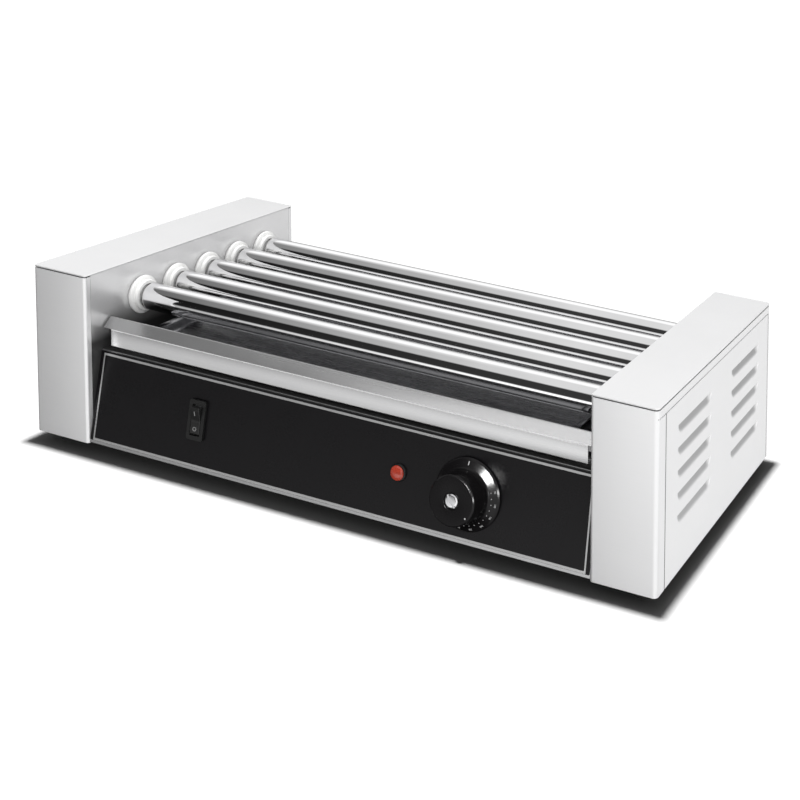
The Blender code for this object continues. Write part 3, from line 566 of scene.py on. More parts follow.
def side_columns():
    """Places along the outer side, close together where the louvres end."""
    marks = [-0.7, -0.15, 0.0, 0.4, 1.0, 1.8, 2.8, 4.0, 5.5, 7.2, 9.0]
    places = set()
    for seam, width in UPRIGHT_SEAMS:
        places |= {seam - 0.7 * MM, seam - 0.15 * MM, seam, seam + width,
                   seam + width + 0.15 * MM, seam + width + 0.7 * MM}
    for mid in LOUVRE_COLUMNS:
        for m in marks:
            places |= {mid - LOUVRE_HALF + m * MM, mid + LOUVRE_HALF - m * MM}
        places |= {mid + s * MM for s in (-20.0, -10.0, 0.0, 10.0, 20.0)}
    return sorted(p for p in places if FRONT + BEND_R < p < BACK - BEND_R)


def cover_plan():
    """Plan of the cover from one hem round to the other, as (x, y, on outer side)."""
    path = fillet([(INNER, FRONT + HEM), (INNER, FRONT), (HALF, FRONT), (HALF, BACK),
                   (INNER, BACK), (INNER, BACK - HEM)],
                  [0.0, HEM_R, BEND_R, BEND_R, HEM_R, 0.0], 7)
    plan = []
    for a, b in zip(path, path[1:] + path[-1:]):
        outer = abs(a.x - HALF) < 1e-6 and abs(b.x - HALF) < 1e-6
        plan.append((a.x, a.y, outer))
        if outer and a is not b:
            plan += [(HALF, y, True) for y in side_columns()]
    return plan


def cover_levels():
    """Rising (height, louvre top or None, seam depth, opens above) rows."""
    levels = [(Z_LOW, None, 0.0, False)]
    parts = 12
    ease = 0.15 * MM
    for mid in LOUVRE_ROWS:
        top = mid + LOUVRE_H / 2.0
        levels.append((top - LOUVRE_H - ease, None, 0.0, False))
        for k in range(parts + 1):
            levels.append((top - LOUVRE_H * (1.0 - k / parts), top, 0.0, k == parts))
        levels += [(top, None, 0.0, False), (top + ease, None, 0.0, False)]
    lip = Z_TOP - LIP_H
    levels += [(lip - SEAM - ease, None, 0.0, False), (lip - SEAM, None, SEAM_DEEP, False),
               (lip, None, SEAM_DEEP, False), (lip + ease, None, 0.0, False),
               (Z_TOP - CAP_T - CAP_GAP, None, 0.0, False)]
    return levels


def cover_shell(side, sign):
    plan, levels = cover_plan(), cover_levels()
    rows, skip, painted_recess_shade = [], set(), []
    seam_low = Z_TOP - LIP_H - SEAM
    for r, (z, top, seam, opens) in enumerate(levels):
        row = []
        for c, (x, y, outer) in enumerate(plan):
            pressed = louvre_depth(y, z, top) if outer and top is not None else 0.0
            inset = seam if outer else 0.0
            if outer and z < seam_low and any(s - 1e-6 <= y <= s + width + 1e-6
                                              for s, width in UPRIGHT_SEAMS):
                inset = SEAM_DEEP
            row.append(Vector((sign * (x - pressed - inset), y, z)))
            # weight of the painted shade in the louvres, full at a third of their depth
            painted_recess_shade.append(min(1.0, 3.0 * pressed / LOUVRE_DEEP))
            if opens and outer and (pressed > 1e-5 or
                                    louvre_depth(plan[min(c + 1, len(plan) - 1)][1], z, top)
                                    > 1e-5):
                skip.add((r, c))
        rows.append(row)
    mesh = grid_mesh(side + "_end_cover_shell", rows, skip)
    mesh.attributes.new("pressed", "FLOAT", "POINT").data.foreach_set("value", painted_recess_shade)
    weld(mesh, bmesh.ops.reverse_faces if sign < 0.0 else None)
    ob = piece(side + "_end_cover_shell", mesh, ("cover", "joint"), "frame",
               (side + "_end_cover",), 40.0)
    # seam faces take the grey joint material: painted shade in the grooves
    for poly in mesh.polygons:
        mid = poly.center
        level = seam_low < mid.z < seam_low + SEAM and abs(mid.x) < HALF - 0.4 * MM
        upright = mid.z < seam_low and any(s - 0.15 * MM < mid.y < s + width + 0.15 * MM
                                           for s, width in UPRIGHT_SEAMS)
        if (level or upright) and HALF - 1.0 * MM < abs(mid.x) < HALF - 0.1 * MM:
            poly.material_index = 1
    thicken(ob, SKIN).use_even_offset = False
    ob.modifiers.new("corners", "EDGE_SPLIT").split_angle = math.radians(40.0)
    return ob


def cover_cap(side, sign):
    """Top plate, and a near-black strip beneath its edge: painted shadow for the gap under the
    plate.
    """
    def outline(inset):
        path = [(sign * x, y) for x, y in
                ((INNER + inset, FRONT + inset), (HALF - inset, FRONT + inset),
                 (HALF - inset, BACK - inset), (INNER + inset, BACK - inset))]
        return fillet(path, [HEM_R, BEND_R, BEND_R, HEM_R], 7, True)
    top = extrude(side + "_end_cover_top", outline(0.0), Z_TOP - CAP_T, Z_TOP, IDENTITY)
    cap = piece(side + "_end_cover_top", top, "cover", "frame", (side + "_end_cover",))
    bevel(cap, 0.5 * MM, 3, 60.0)
    under = extrude(side + "_end_cover_joint", outline(0.7 * MM),
                    Z_TOP - CAP_T - CAP_GAP, Z_TOP - CAP_T, IDENTITY)
    piece(side + "_end_cover_joint", under, "groove", "frame", (side + "_end_cover",))


for side, sign in SIDES:
    cover_shell(side, sign)
    cover_cap(side, sign)

# -------------------------------------------------------- rollers and bushings
TUBE_WALL = 1.2 * MM
TAPER = 3.5 * MM
SPIGOT_R = 10.0 * MM
TUBE_X = 222.0 * MM           # where the full diameter stops


def roller_tube(i):
    node = f"roller_tube_{i}"
    lo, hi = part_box(node)
    mid = (lo + hi) / 2.0
    radius = (hi.z - lo.z) / 2.0
    t = TUBE_WALL
    outer = fillet([(SPIGOT_R, lo.x), (SPIGOT_R, -TUBE_X - TAPER), (radius, -TUBE_X),
                    (radius, TUBE_X), (SPIGOT_R, TUBE_X + TAPER), (SPIGOT_R, hi.x)],
                   1.5 * MM, 4)
    inner = [(r - t, x) for r, x in outer][::-1]
    frame_of = Matrix.Translation((0.0, mid.y, mid.z)) @ ALONG_X
    mesh = lathe(node + "_visual", outer + inner, frame_of, True, 96)
    piece(f"roller_tube_{i}_chrome", mesh, "chrome", f"roller_{i}", (node,), 50.0)


def bushing(side, sign, i):
    node = f"{side}_bushing_{i}"
    mid = centre(f"roller_tube_{i}")
    bore, ring, flange, sleeve = 10.4, 13.9, 17.0, 13.0
    profile = [(bore, 239.5), (sleeve, 239.5), (sleeve, 234.7), (flange - 1.4, 234.7),
               (flange, 232.6), (flange, 230.6), (ring + 0.7, 229.4), (ring, 229.6),
               (ring, 226.5), (bore, 226.5)]
    path = rounded([(r, sign * x) for r, x in profile],
                   [0.0, 0.0, 0.0, 0.2, 0.4, 0.9, 0.5, 0.3, 1.0, 0.5], 5, True)
    frame_of = Matrix.Translation((0.0, mid.y, mid.z)) @ ALONG_X
    mesh = lathe(node + "_visual", path, frame_of)
    piece(node + "_ptfe", mesh, "white", "frame", (node,), 50.0)


for i in ROLLERS:
    roller_tube(i)
    for side, sign in SIDES:
        bushing(side, sign, i)

# ------------------------------------------------------------------- drip tray
TRAY_T = 1.0 * MM
WELL_HALF = 199.0 * MM
RIM_HALF = 203.5 * MM
SLOPE_HALF = 233.5 * MM
FACE_HALF = 225.0 * MM
TRAY_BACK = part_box("drip_tray")[1].y
RIM_Z = 106.5 * MM
FLOOR_Z = 98.2 * MM
WELL_FRONT = FRONT + 29.0 * MM
RAIL_FOOT, RAIL_FOLD, RAIL_TOP = 93.0 * MM, 107.7 * MM, 115.2 * MM


def tray_well():
    """Pressed well, drawn as rounded loops from its rim down to the floor."""
    levels = ((RIM_HALF, 0.0, 0.0, 4.0, RIM_Z - 0.9 * MM), (RIM_HALF, 0.0, 0.0, 4.0, RIM_Z),
              (WELL_HALF + 0.6 * MM, 0.0, 3.9, 4.0, RIM_Z),
              (WELL_HALF - 0.2 * MM, 0.2, 4.7, 4.0, RIM_Z - 0.4 * MM),
              (WELL_HALF - 0.8 * MM, 0.5, 5.3, 4.0, RIM_Z - 1.3 * MM),
              (WELL_HALF - 1.4 * MM, 0.9, 5.9, 4.0, FLOOR_Z + 2.2 * MM),
              (WELL_HALF - 2.0 * MM, 1.5, 6.5, 3.6, FLOOR_Z + 0.9 * MM),
              (WELL_HALF - 3.4 * MM, 2.9, 7.9, 3.0, FLOOR_Z + 0.1 * MM),
              (WELL_HALF - 5.0 * MM, 4.5, 9.5, 3.0, FLOOR_Z))
    verts, faces, rings = [], [], []
    for half, front_in, back_in, r, z in levels:
        loop = rect(-half, WELL_FRONT + front_in * MM, half, TRAY_BACK - back_in * MM, r * MM, 6)
        rings.append(list(range(len(verts), len(verts) + len(loop))))
        verts += [(p.x, p.y, z) for p in loop]
    for a, b in zip(rings, rings[1:]):
        n = len(a)
        faces += [[a[k], a[(k + 1) % n], b[(k + 1) % n], b[k]] for k in range(n)]
    faces.append(rings[-1])
    mesh = mesh_from("drip_tray_well", verts, faces)
    ob = piece("drip_tray_well", mesh, "tray", "tray", ("drip_tray",), 50.0)
    floor = max(mesh.polygons, key=lambda p: p.area)
    if floor.normal.z < 0.0:
        mesh.flip_normals()
    thicken(ob, TRAY_T)


def tray_rail():
    """Folded front rail: hem, upright face, slope and the wall behind it."""
    face = FRONT + 18.0 * MM
    path = fillet([(face + 7.0 * MM, RAIL_FOOT), (face, RAIL_FOOT), (face, RAIL_FOLD),
                   (WELL_FRONT - 2.0 * MM, RAIL_TOP), (WELL_FRONT, RAIL_TOP),
                   (WELL_FRONT, 99.0 * MM)],
                  [0.0, 0.8 * MM, 1.2 * MM, 1.0 * MM, 0.9 * MM, 0.0], 6)
    slope_from = next(k for k, p in enumerate(path) if p.y > RAIL_FOLD + 0.5 * MM)
    columns = [-SLOPE_HALF, -FACE_HALF, -75.0 * MM, 75.0 * MM, FACE_HALF, SLOPE_HALF]
    rows = [[Vector((x, p.x, p.y)) for x in columns] for p in path]
    skip = {(r, c) for r in range(slope_from - 1) for c in (0, len(columns) - 2)}
    mesh = grid_mesh("drip_tray_rail", rows, skip)
    ob = piece("drip_tray_rail", mesh, ("rail", "fold_highlight"), "tray", ("drip_tray",), 50.0)
    up = max(mesh.polygons, key=lambda p: p.center.z)
    if up.normal.z < 0.0:
        mesh.flip_normals()
    # faces round the fold take the lighter steel: a painted highlight along it
    for poly in mesh.polygons:
        if abs(poly.center.z - RAIL_FOLD) < 1.5 * MM and 0.1 < poly.normal.z < 0.7:
            poly.material_index = 1
    thicken(ob, 1.2 * MM)
    bevel(ob, 0.15 * MM, 1, 60.0)


tray_well()
tray_rail()

# --------------------------------------------------------------- control panel
PANEL_V0, PANEL_V1 = -37.0 * MM, 40.67 * MM   # foot and head of the slope from the dial
FASCIA_W0, FASCIA_W1 = 0.3 * MM, 0.9 * MM
FASCIA_HALF = INNER - 0.9 * MM
SWITCH_X = ROCK["pos_m"][0]
LAMP_X = centre("pilot_lamp_lens").x
KNOB_X = DIAL["pos_m"][0]
SWITCH_HOLE = (6.5 * MM, 14.2 * MM)


def panel_point(v, w=0.0):
    p = on_panel(0.0, v, w).translation
    return (p.y, p.z)


def control_panel():
    lo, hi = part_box("control_panel")
    path = fillet([(hi.y, lo.z), (panel_point(PANEL_V0)[0] - 0.57 * MM, lo.z),
                   panel_point(PANEL_V1), (panel_point(PANEL_V1)[0] + 20.0 * MM,
                                           panel_point(PANEL_V1)[1])],
                  [0.0, 0.8 * MM, 1.5 * MM, 0.0], 6)
    mesh = extrude("control_panel_sheet", strip(path, -1.2 * MM), -INNER + 0.3 * MM,
                   INNER - 0.3 * MM, DRAW_YZ)
    ob = piece("control_panel_sheet", mesh, ("panel", "groove"), "frame",
               ("control_panel",), 40.0)
    # the panel's top return and underside lie in shade under the tray rail and take the painted
    # shadow
    for poly in mesh.polygons:
        if poly.normal.z > 0.8 or poly.normal.z < -0.3:
            poly.material_index = 1
    bevel(ob, 0.15 * MM, 1, 60.0)


def fascia():
    holes = [[Vector((SWITCH_X + a * SWITCH_HOLE[0], LAMP_V + b * SWITCH_HOLE[1]))
              for a, b in ((-1, -1), (1, -1), (1, 1), (-1, 1))],
             circle(LAMP_X, LAMP_V, 5.3 * MM), circle(KNOB_X, 0.0, 5.3 * MM)]
    edge = rect(-FASCIA_HALF, PANEL_V0 + 0.6 * MM, FASCIA_HALF, PANEL_V1 - 1.2 * MM,
                0.5 * MM)
    mesh = plate("panel_fascia_black", [edge] + holes, FASCIA_W0, FASCIA_W1, on_panel(0.0))
    ob = piece("panel_fascia_black", mesh, "fascia", "frame", ("panel_fascia",), 40.0)
    bevel(ob, 0.12 * MM, 2, 60.0)


def key_line():
    """Silver border: a line along the top and foot, joined by thin ones at both ends."""
    top, foot, line, end, inset = 2.7 * MM, 0.8 * MM, 1.9 * MM, 1.3 * MM, 3.0 * MM
    half = FASCIA_HALF - inset
    outer = rect(-half, PANEL_V0 + foot, half, PANEL_V1 - top, 0.5 * MM)
    inner = rect(-half + end, PANEL_V0 + foot + line, half - end, PANEL_V1 - top - line,
                 0.8 * MM)
    mesh = plate("panel_key_line", [outer, inner], FASCIA_W1 - 0.05 * MM,
                 FASCIA_W1 + 0.12 * MM, on_panel(0.0))
    ob = piece("panel_key_line", mesh, "silver", "frame", (), 40.0)
    bevel(ob, 0.04 * MM, 1, 60.0)


control_panel()
fascia()
key_line()


# ---------------------------------------------------------------------- switch
def switch():
    at = on_panel(SWITCH_X, LAMP_V)
    face = FASCIA_W1 + 0.3 * MM
    outer = rect(-8.0 * MM, -16.5 * MM, 8.0 * MM, 16.5 * MM, 2.0 * MM, 6)
    hole = rect(-5.0 * MM, -12.9 * MM, 5.0 * MM, 12.9 * MM, 0.8 * MM, 4)
    bezel = plate("switch_bezel", [outer, hole], face, 3.6 * MM, at)
    ob = piece("switch_bezel", bezel, "black", "frame", ("switch_housing",), 40.0)
    bevel(ob, 0.7 * MM, 4, 60.0)
    shell = rect(-6.2 * MM, -13.9 * MM, 6.2 * MM, 13.9 * MM, 0.8 * MM, 4)
    can = plate("switch_can", [shell, hole], -17.0 * MM, face, at)
    bevel(piece("switch_can", can, "black", "frame", ("switch_housing",), 40.0), 0.2 * MM)
    back = extrude("switch_back", shell, -22.0 * MM, -17.0 * MM, at)
    bevel(piece("switch_back", back, "black", "frame", ("switch_housing",), 40.0), 0.3 * MM)


def rocker():
    """Two-faced rocker tipped to its rest side, with the usual line and ring marks."""
    pivot = on_panel(SWITCH_X, LAMP_V, 1.0 * MM)
    tipped = pivot @ Matrix.Rotation(math.radians(10.0), 4, "X")
    path = rounded([(-11.3, 1.2), (-8.0, -6.0), (8.0, -6.0), (11.3, 1.2), (11.3, 5.0),
                    (0.0, 3.0), (-11.3, 5.0)], [0.6, 1.0, 1.0, 0.6, 1.2, 9.0, 1.2], 6, True)
    mesh = extrude("switch_rocker_cap", path, -4.6 * MM, 4.6 * MM, tipped @ DRAW_YZ)
    ob = piece("switch_rocker_cap", mesh, "black", "rocker", ("switch_rocker",), 40.0)
    bevel(ob, 0.5 * MM, 3, 60.0)
    line = [rect(-0.4 * MM, -2.0 * MM, 0.4 * MM, 2.0 * MM, 0.2 * MM)]
    ring = [circle(0.0, 0.0, 1.8 * MM), circle(0.0, 0.0, 1.1 * MM)]
    for name, loops, way in (("line", line, 1.0), ("ring", ring, -1.0)):
        at = (tipped @ Matrix.Translation((0.0, way * 6.6 * MM, 4.25 * MM))
              @ Matrix.Rotation(way * math.atan2(2.0, 11.3), 4, "X"))
        mesh = plate(f"switch_{name}_mark", loops, -0.1 * MM, 0.12 * MM, at)
        piece(f"switch_{name}_mark", mesh, "faint", "rocker")


switch()
rocker()


# ------------------------------------------------------------------ pilot lamp
def pilot_lamp():
    at = on_panel(LAMP_X, LAMP_V)
    face = FASCIA_W1 / MM + 0.3
    body = rounded([(3.4, -6.0), (3.4, 3.4), (6.4, 3.0), (7.2, face), (5.0, face),
                    (5.0, -20.0), (1.5, -20.0), (1.5, -6.0)],
                   [0.0, 0.3, 0.8, 0.2, 0.0, 0.6, 0.0, 0.0], 4, True)
    mesh = lathe("pilot_lamp_bezel", body, at, True, 56)
    piece("pilot_lamp_bezel", mesh, "black", "frame", ("pilot_lamp_body",), 50.0)
    dome = [(5.9 * math.cos(a) * MM, (3.8 + 2.4 * math.sin(a)) * MM)
            for a in (math.radians(90.0 * k / 10) for k in range(10, -1, -1))]
    dome[0] = (0.0, dome[0][1])
    mesh = lathe("pilot_lamp_dome", dome + [(3.1 * MM, 3.7 * MM), (3.1 * MM, -5.0 * MM),
                                            (0.0, -5.0 * MM)], at, False, 56)
    piece("pilot_lamp_dome", mesh, "lens", "frame", ("pilot_lamp_lens",), 50.0)


pilot_lamp()

# ------------------------------------------------------------------ thermostat
GRIP_FACE = 28.8 * MM
CONE_LOW, CONE_HIGH = (27.1 * MM, 4.5 * MM), (21.4 * MM, 7.3 * MM)


def knob():
    at = on_panel(KNOB_X)
    profile = [(0.0, 27.0), (6.6, 27.0), (6.6, 28.8), (18.4, 28.8), (19.5, 27.7),
               (20.5, 8.4), (21.4, 7.3), (27.1, 4.5), (28.5, 3.1), (28.5, 1.8),
               (25.5, 1.8), (22.5, 3.2), (8.0, 3.2), (8.0, 9.0), (3.3, 9.0), (3.3, 19.0),
               (0.0, 19.0)]
    radii = [0.0, 0.3, 0.4, 0.7, 1.0, 0.8, 0.5, 1.0, 0.8, 0.3, 0.3] + [0.0] * 6
    mesh = lathe("thermostat_knob_moulding", rounded(profile, radii), at, False, 96)
    piece("thermostat_knob_moulding", mesh, ("knob", "grip"), "knob", ("thermostat_knob",),
          50.0)
    for poly in mesh.polygons:
        if poly.normal.dot(OUTWARD) > 0.99:
            poly.material_index = 1


def on_cone(angle, r):
    """Frame on the knob's skirt at a clock angle in degrees, Y pointing to the rim."""
    share = (r - CONE_HIGH[0]) / (CONE_LOW[0] - CONE_HIGH[0])
    w = CONE_HIGH[1] + share * (CONE_LOW[1] - CONE_HIGH[1])
    fall = math.atan2(CONE_HIGH[1] - CONE_LOW[1], CONE_LOW[0] - CONE_HIGH[0])
    turn = Matrix.Rotation(-math.radians(angle), 4, "Z")
    return (on_panel(KNOB_X) @ turn @ Matrix.Translation((0.0, r, w))
            @ Matrix.Rotation(-fall, 4, "X"))


def numeral(text, size, frame_of, name):
    curve = bpy.data.curves.new(name, "FONT")
    curve.body = text
    curve.size = size
    curve.align_x = "CENTER"
    curve.align_y = "CENTER"
    curve.extrude = 0.07 * MM
    mesh = meshed(curve)
    mesh.transform(frame_of)
    return mesh


def dial_marks():
    """Dots and numerals from 3 o'clock round past 6, and a zero mark at the top."""
    made = []
    for k in range(11):
        a = 73.0 + 11.5 * k
        spot = lathe("dot", [(0.0, 0.12 * MM), (0.28 * MM, 0.09 * MM), (0.34 * MM, 0.0)],
                     on_cone(a, 22.9 * MM), False, 16)
        made.append(piece(f"dial_dot_{k}", spot, "mark", "knob"))
    for k in range(6):
        a = 73.0 + 23.0 * k
        mesh = numeral(str(50 + 50 * k), 1.9 * MM, on_cone(a, 25.7 * MM), "numeral")
        made.append(piece(f"dial_numeral_{k}", mesh, "mark", "knob"))
    bar = plate("dial_zero", [rect(-0.35 * MM, -1.6 * MM, 0.35 * MM, 1.6 * MM, 0.2 * MM)],
                -0.05 * MM, 0.12 * MM, on_cone(0.0, 24.6 * MM))
    made.append(piece("dial_zero", bar, "mark", "knob"))
    merge(made, "dial_marks")
    place = (on_panel(KNOB_X) @ Matrix.Rotation(-math.radians(128.0), 4, "Z")
             @ Matrix.Translation((0.0, 16.6 * MM, GRIP_FACE)))
    dot = lathe("knob_pointer", [(0.0, 0.15 * MM), (0.6 * MM, 0.12 * MM), (0.75 * MM, -0.1 * MM)],
                place, False, 20)
    piece("knob_pointer", dot, "mark", "knob")


def knob_screw():
    """Slotted pan head sunk in the middle of the grip."""
    at = on_panel(KNOB_X)
    dome = rounded([(0.0, 29.6), (4.4, 29.6), (5.6, 28.8), (5.6, 27.3)], [0.9] * 4)
    mesh = lathe("knob_screw_head", dome + [(0.0, 27.3 * MM)], at, False, 48)
    ob = piece("knob_screw_head", mesh, "screw", "knob", ("knob_screw",), 50.0)
    slot = extrude("slot", rect(-0.75 * MM, -7.0 * MM, 0.75 * MM, 7.0 * MM, 0.1 * MM),
                   28.5 * MM, 31.0 * MM, at @ Matrix.Rotation(math.radians(38.0), 4, "Z"))
    cut(ob, slot)


def cut(ob, tool_mesh):
    """Subtract a mesh from an object and keep only the result."""
    tool = in_scene("tool", tool_mesh)
    mod = ob.modifiers.new("cut", "BOOLEAN")
    mod.operation = "DIFFERENCE"
    mod.solver = "EXACT"
    mod.object = tool
    bpy.context.view_layer.update()
    graph = bpy.context.evaluated_depsgraph_get()
    result = bpy.data.meshes.new_from_object(ob.evaluated_get(graph))
    ob.modifiers.remove(mod)
    ob.data = result
    bpy.data.objects.remove(tool, do_unlink=True)
    smooth(result)


knob()
dial_marks()
knob_screw()


# ----------------------------------------------------------- feet, cord, plug
def foot(node):
    lo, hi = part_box(node)
    mid = (lo + hi) / 2.0
    r = (hi.x - lo.x) / 2.0
    profile = fillet([(0.0, hi.z), (r, hi.z), (r, 3.0 * MM), (r - 1.5 * MM, 0.0),
                      (4.5 * MM, 0.0), (4.2 * MM, 3.0 * MM), (0.0, 3.0 * MM)],
                     [0.0, 0.5 * MM, 1.0 * MM, 0.8 * MM, 0.4 * MM, 0.0, 0.0], 5)
    mesh = lathe(node + "_rubber", profile, Matrix.Translation((mid.x, mid.y, 0.0)), False, 56)
    piece(node + "_rubber", mesh, "rubber", "frame", (node,), 50.0)


for end in ("front", "rear"):
    for side, sign in SIDES:
        foot(f"foot_{end}_{side}")

GLAND = centre("cord_gland")
CORD_R = 3.5 * MM


def cord_path():
    """Out of the gland, down to the worktop, two flat turns, up into the plug."""
    x, z, y = GLAND.x, GLAND.z, BACK
    rest = CORD_R + 0.4 * MM
    mid_x, mid_y = x + 0.128, y + 0.070
    keys = [(x, y - 0.020, z), (x, y + 0.018, z), (x + 0.0005, y + 0.034, 0.033),
            (x + 0.0010, y + 0.042, 0.013), (x + 0.0014, y + 0.053, rest + 0.0022)]
    turns = 38
    for k in range(1, turns + 1):
        f = k / turns
        a = math.radians(188.0 - 740.0 * f)
        keys.append((mid_x + (0.128 - 0.036 * f) * math.cos(a),
                     mid_y + (0.048 - 0.020 * f) * math.sin(a),
                     rest + 0.040 * max(0.0, f - 0.9)))
    plug = Vector((mid_x + 0.012, mid_y, 0.0184))
    keys += [tuple(plug + Vector((-0.0520, 0.0080, -0.0040))),
             tuple(plug + Vector((-0.0240, 0.0, 0.0))), tuple(plug + Vector((0.004, 0.0, 0.0)))]
    return keys


def cord():
    wire = bpy.data.curves.new("power_cord_sheath", "CURVE")
    wire.dimensions = "3D"
    wire.bevel_depth = CORD_R
    wire.bevel_resolution = 8
    wire.resolution_u = 6
    wire.use_fill_caps = True
    keys = cord_path()
    line = wire.splines.new("BEZIER")
    line.bezier_points.add(len(keys) - 1)
    for point, co in zip(line.bezier_points, keys):
        point.co = co
        point.handle_left_type = point.handle_right_type = "AUTO"
    piece("power_cord_sheath", meshed(wire), "rubber", "frame", ("power_cord",), 60.0)


def gland():
    at = (Matrix.Translation((GLAND.x, BACK, GLAND.z))
          @ Matrix.Rotation(math.radians(-90.0), 4, "X"))
    path = rounded([(3.9, -8.0), (7.5, -8.0), (7.5, -1.4), (11.5, -1.4), (11.5, 3.0),
                    (8.0, 6.0), (6.0, 16.0), (3.9, 16.0)],
                   [0.0, 0.3, 0.0, 0.3, 1.0, 1.5, 0.8, 0.4], 5, True)
    mesh = lathe("cord_gland_moulding", path, at, True, 56)
    piece("cord_gland_moulding", mesh, "black", "frame", ("cord_gland",), 50.0)


def plug():
    lo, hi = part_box("mains_plug")
    mid = (lo + hi) / 2.0
    base = lo.x + 12.0 * MM
    at = Matrix.Translation((base, mid.y, mid.z)) @ Matrix.Rotation(math.radians(-90.0), 4, "Y")
    path = rounded([(0.0, -37.0), (17.0, -37.0), (18.0, -36.0), (18.0, -15.0), (13.0, -6.0),
                    (7.0, 0.0), (5.5, 12.0), (3.9, 12.0), (3.9, -4.0), (0.0, -4.0)],
                   [0.0, 0.6, 0.8, 4.0, 3.0, 3.0, 0.8, 0.4, 0.0, 0.0], 6)
    mesh = lathe("mains_plug_body", path, at, False, 64)
    piece("mains_plug_body", mesh, "black", "frame", ("mains_plug",), 50.0)
    pin = rounded([(0.0, -57.0), (2.4, -57.0), (2.4, -35.0), (0.0, -35.0)],
                  [0.0, 1.2, 0.0, 0.0], 6)
    for k, off in (("a", 9.5 * MM), ("b", -9.5 * MM)):
        mesh = lathe("mains_plug_pin_" + k, pin, at @ Matrix.Translation((0.0, off, 0.0)), False,
                     32)
        piece("mains_plug_pin_" + k, mesh, "zinc", "frame", (), 50.0)


cord()
gland()
plug()

# ------------------------------------------------- CAD nodes that keep their shape
CARRIED = {
    "wall": ["left_side_plate", "right_side_plate"],
    "panel": ["rear_panel"],
    "dull": ["base_pan", "left_tray_rail", "right_tray_rail"],
    "motor": ["gear_motor"],
    "zinc": ["motor_bracket", "motor_shaft", "motor_sprocket", "left_heater_bracket",
             "right_heater_bracket", "thermostat_spindle"]
            + [f"roller_sprocket_{i}" for i in ROLLERS],
    "chain": ["drive_chain"],
    "heater": [f"heater_rod_{i}" for i in ROLLERS],
    "cream": ["thermostat_body"],
    "white": ["terminal_block"],
}
for look, names in CARRIED.items():
    for name in names:
        node = frame["nodes"][name]
        if not node.material_slots:
            node.data.materials.append(None)
        for place in node.material_slots:
            place.material = MATERIALS[look]


# ------------------------------------------------------------ floor and light
def stage_sheet(name, x, y0, y1, z):
    """Level rectangle that belongs to the stage."""
    mesh = bpy.data.meshes.new(name)
    mesh.from_pydata([(-x, y0, z), (x, y0, z), (x, y1, z), (-x, y1, z)], [], [(0, 1, 2, 3)])
    ob = in_scene(name, mesh)
    ob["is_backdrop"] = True
    return ob


def floor():
    ob = stage_sheet("floor", 8.0, -8.0, 8.0, 0.0)
    mat, tree, shader = new_tree("floor_white")
    feed(tree, shader, {"Base Color": (0.26, 0.26, 0.26, 1.0), "Roughness": 1.0,
                        "Specular IOR Level": 0.0})
    ob.data.materials.append(mat)
    ob.visible_glossy = False
    return ob


# Studio lights that polished steel mirrors, as long soft boxes parallel to the rollers:
# from, to and width of the soft edge in degrees round the rollers (0 level in front,
# 90 overhead, 180 level behind), and brightness
STUDIO = {
    "low strip in front": (-30.0, -5.0, 10.0, 1.30),
    "overhead box": (50.0, 170.0, 10.0, 0.75),
    "brighter rear half of it": (115.0, 150.0, 15.0, 0.35),
    "low wall behind": (-175.0, -140.0, 10.0, 0.80),
}
DARK_ROOM = 0.04              # level between the lights
LOW_DIM, HIGH_DIM = 0.72, 0.85   # how far the surround in front fades to the left
SIDE_GLOW = 1.1               # bright end of the studio, far to the right
AMBIENT = 0.22


def surround_level(tree):
    """Adds up the studio lights by direction, with the room's fall-off to the left."""
    way = add(tree, "ShaderNodeTexCoord").outputs["Generated"]
    axes = add(tree, "ShaderNodeSeparateXYZ", {0: way})
    level_y = math_node(tree, "MULTIPLY", axes.outputs[1], -1.0)
    angle = math_node(tree, "DEGREES", math_node(tree, "ARCTAN2", axes.outputs[2], level_y))
    total = DARK_ROOM
    for start, end, soft, brightness in STUDIO.values():
        half = soft / 2.0
        rise = ramp(tree, angle, start - half, start + half, kind="SMOOTHSTEP")
        fall = ramp(tree, angle, end + half, end - half, kind="SMOOTHSTEP")
        total = math_node(tree, "MULTIPLY_ADD", math_node(tree, "MULTIPLY", rise, fall),
                          brightness, total)
    left = ramp(tree, axes.outputs[0], -0.68, -0.36, 1.0, 0.0)
    ahead = ramp(tree, level_y, -0.3, 0.0)
    low = ramp(tree, axes.outputs[2], -0.1, 0.5, LOW_DIM, HIGH_DIM)
    dimming = math_node(tree, "MULTIPLY", left, math_node(tree, "MULTIPLY", ahead, low))
    level = math_node(tree, "MULTIPLY", total, math_node(tree, "SUBTRACT", 1.0, dimming))
    far_right = ramp(tree, axes.outputs[0], 0.70, 0.86)
    near_right = math_node(tree, "MULTIPLY", ramp(tree, axes.outputs[0], 0.22, 0.40),
                           ramp(tree, level_y, 0.2, 0.5))
    glow = math_node(tree, "MAXIMUM", far_right, near_right)
    return add(tree, "ShaderNodeMix", {0: glow, 2: level, 3: SIDE_GLOW}).outputs[0]


def world():
    made = bpy.data.worlds.new("studio")
    bpy.context.scene.world = made
    made.use_nodes = True
    tree = made.node_tree
    back = tree.nodes["Background"]
    path = add(tree, "ShaderNodeLightPath")
    glossy = add(tree, "ShaderNodeMix", {0: path.outputs["Is Glossy Ray"], 2: AMBIENT,
                                         3: surround_level(tree)}).outputs[0]
    seen = add(tree, "ShaderNodeMix", {0: path.outputs["Is Camera Ray"], 2: glossy, 3: 1.0})
    tree.links.new(seen.outputs[0], back.inputs["Strength"])
    back.inputs["Color"].default_value = (1.0, 1.0, 1.0, 1.0)
    made.cycles.sampling_method = "NONE"


def collection(name, objects):
    made = bpy.data.collections.new(name)
    for ob in objects:
        made.objects.link(ob)
    return made


GRILL = collection("grill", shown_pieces())


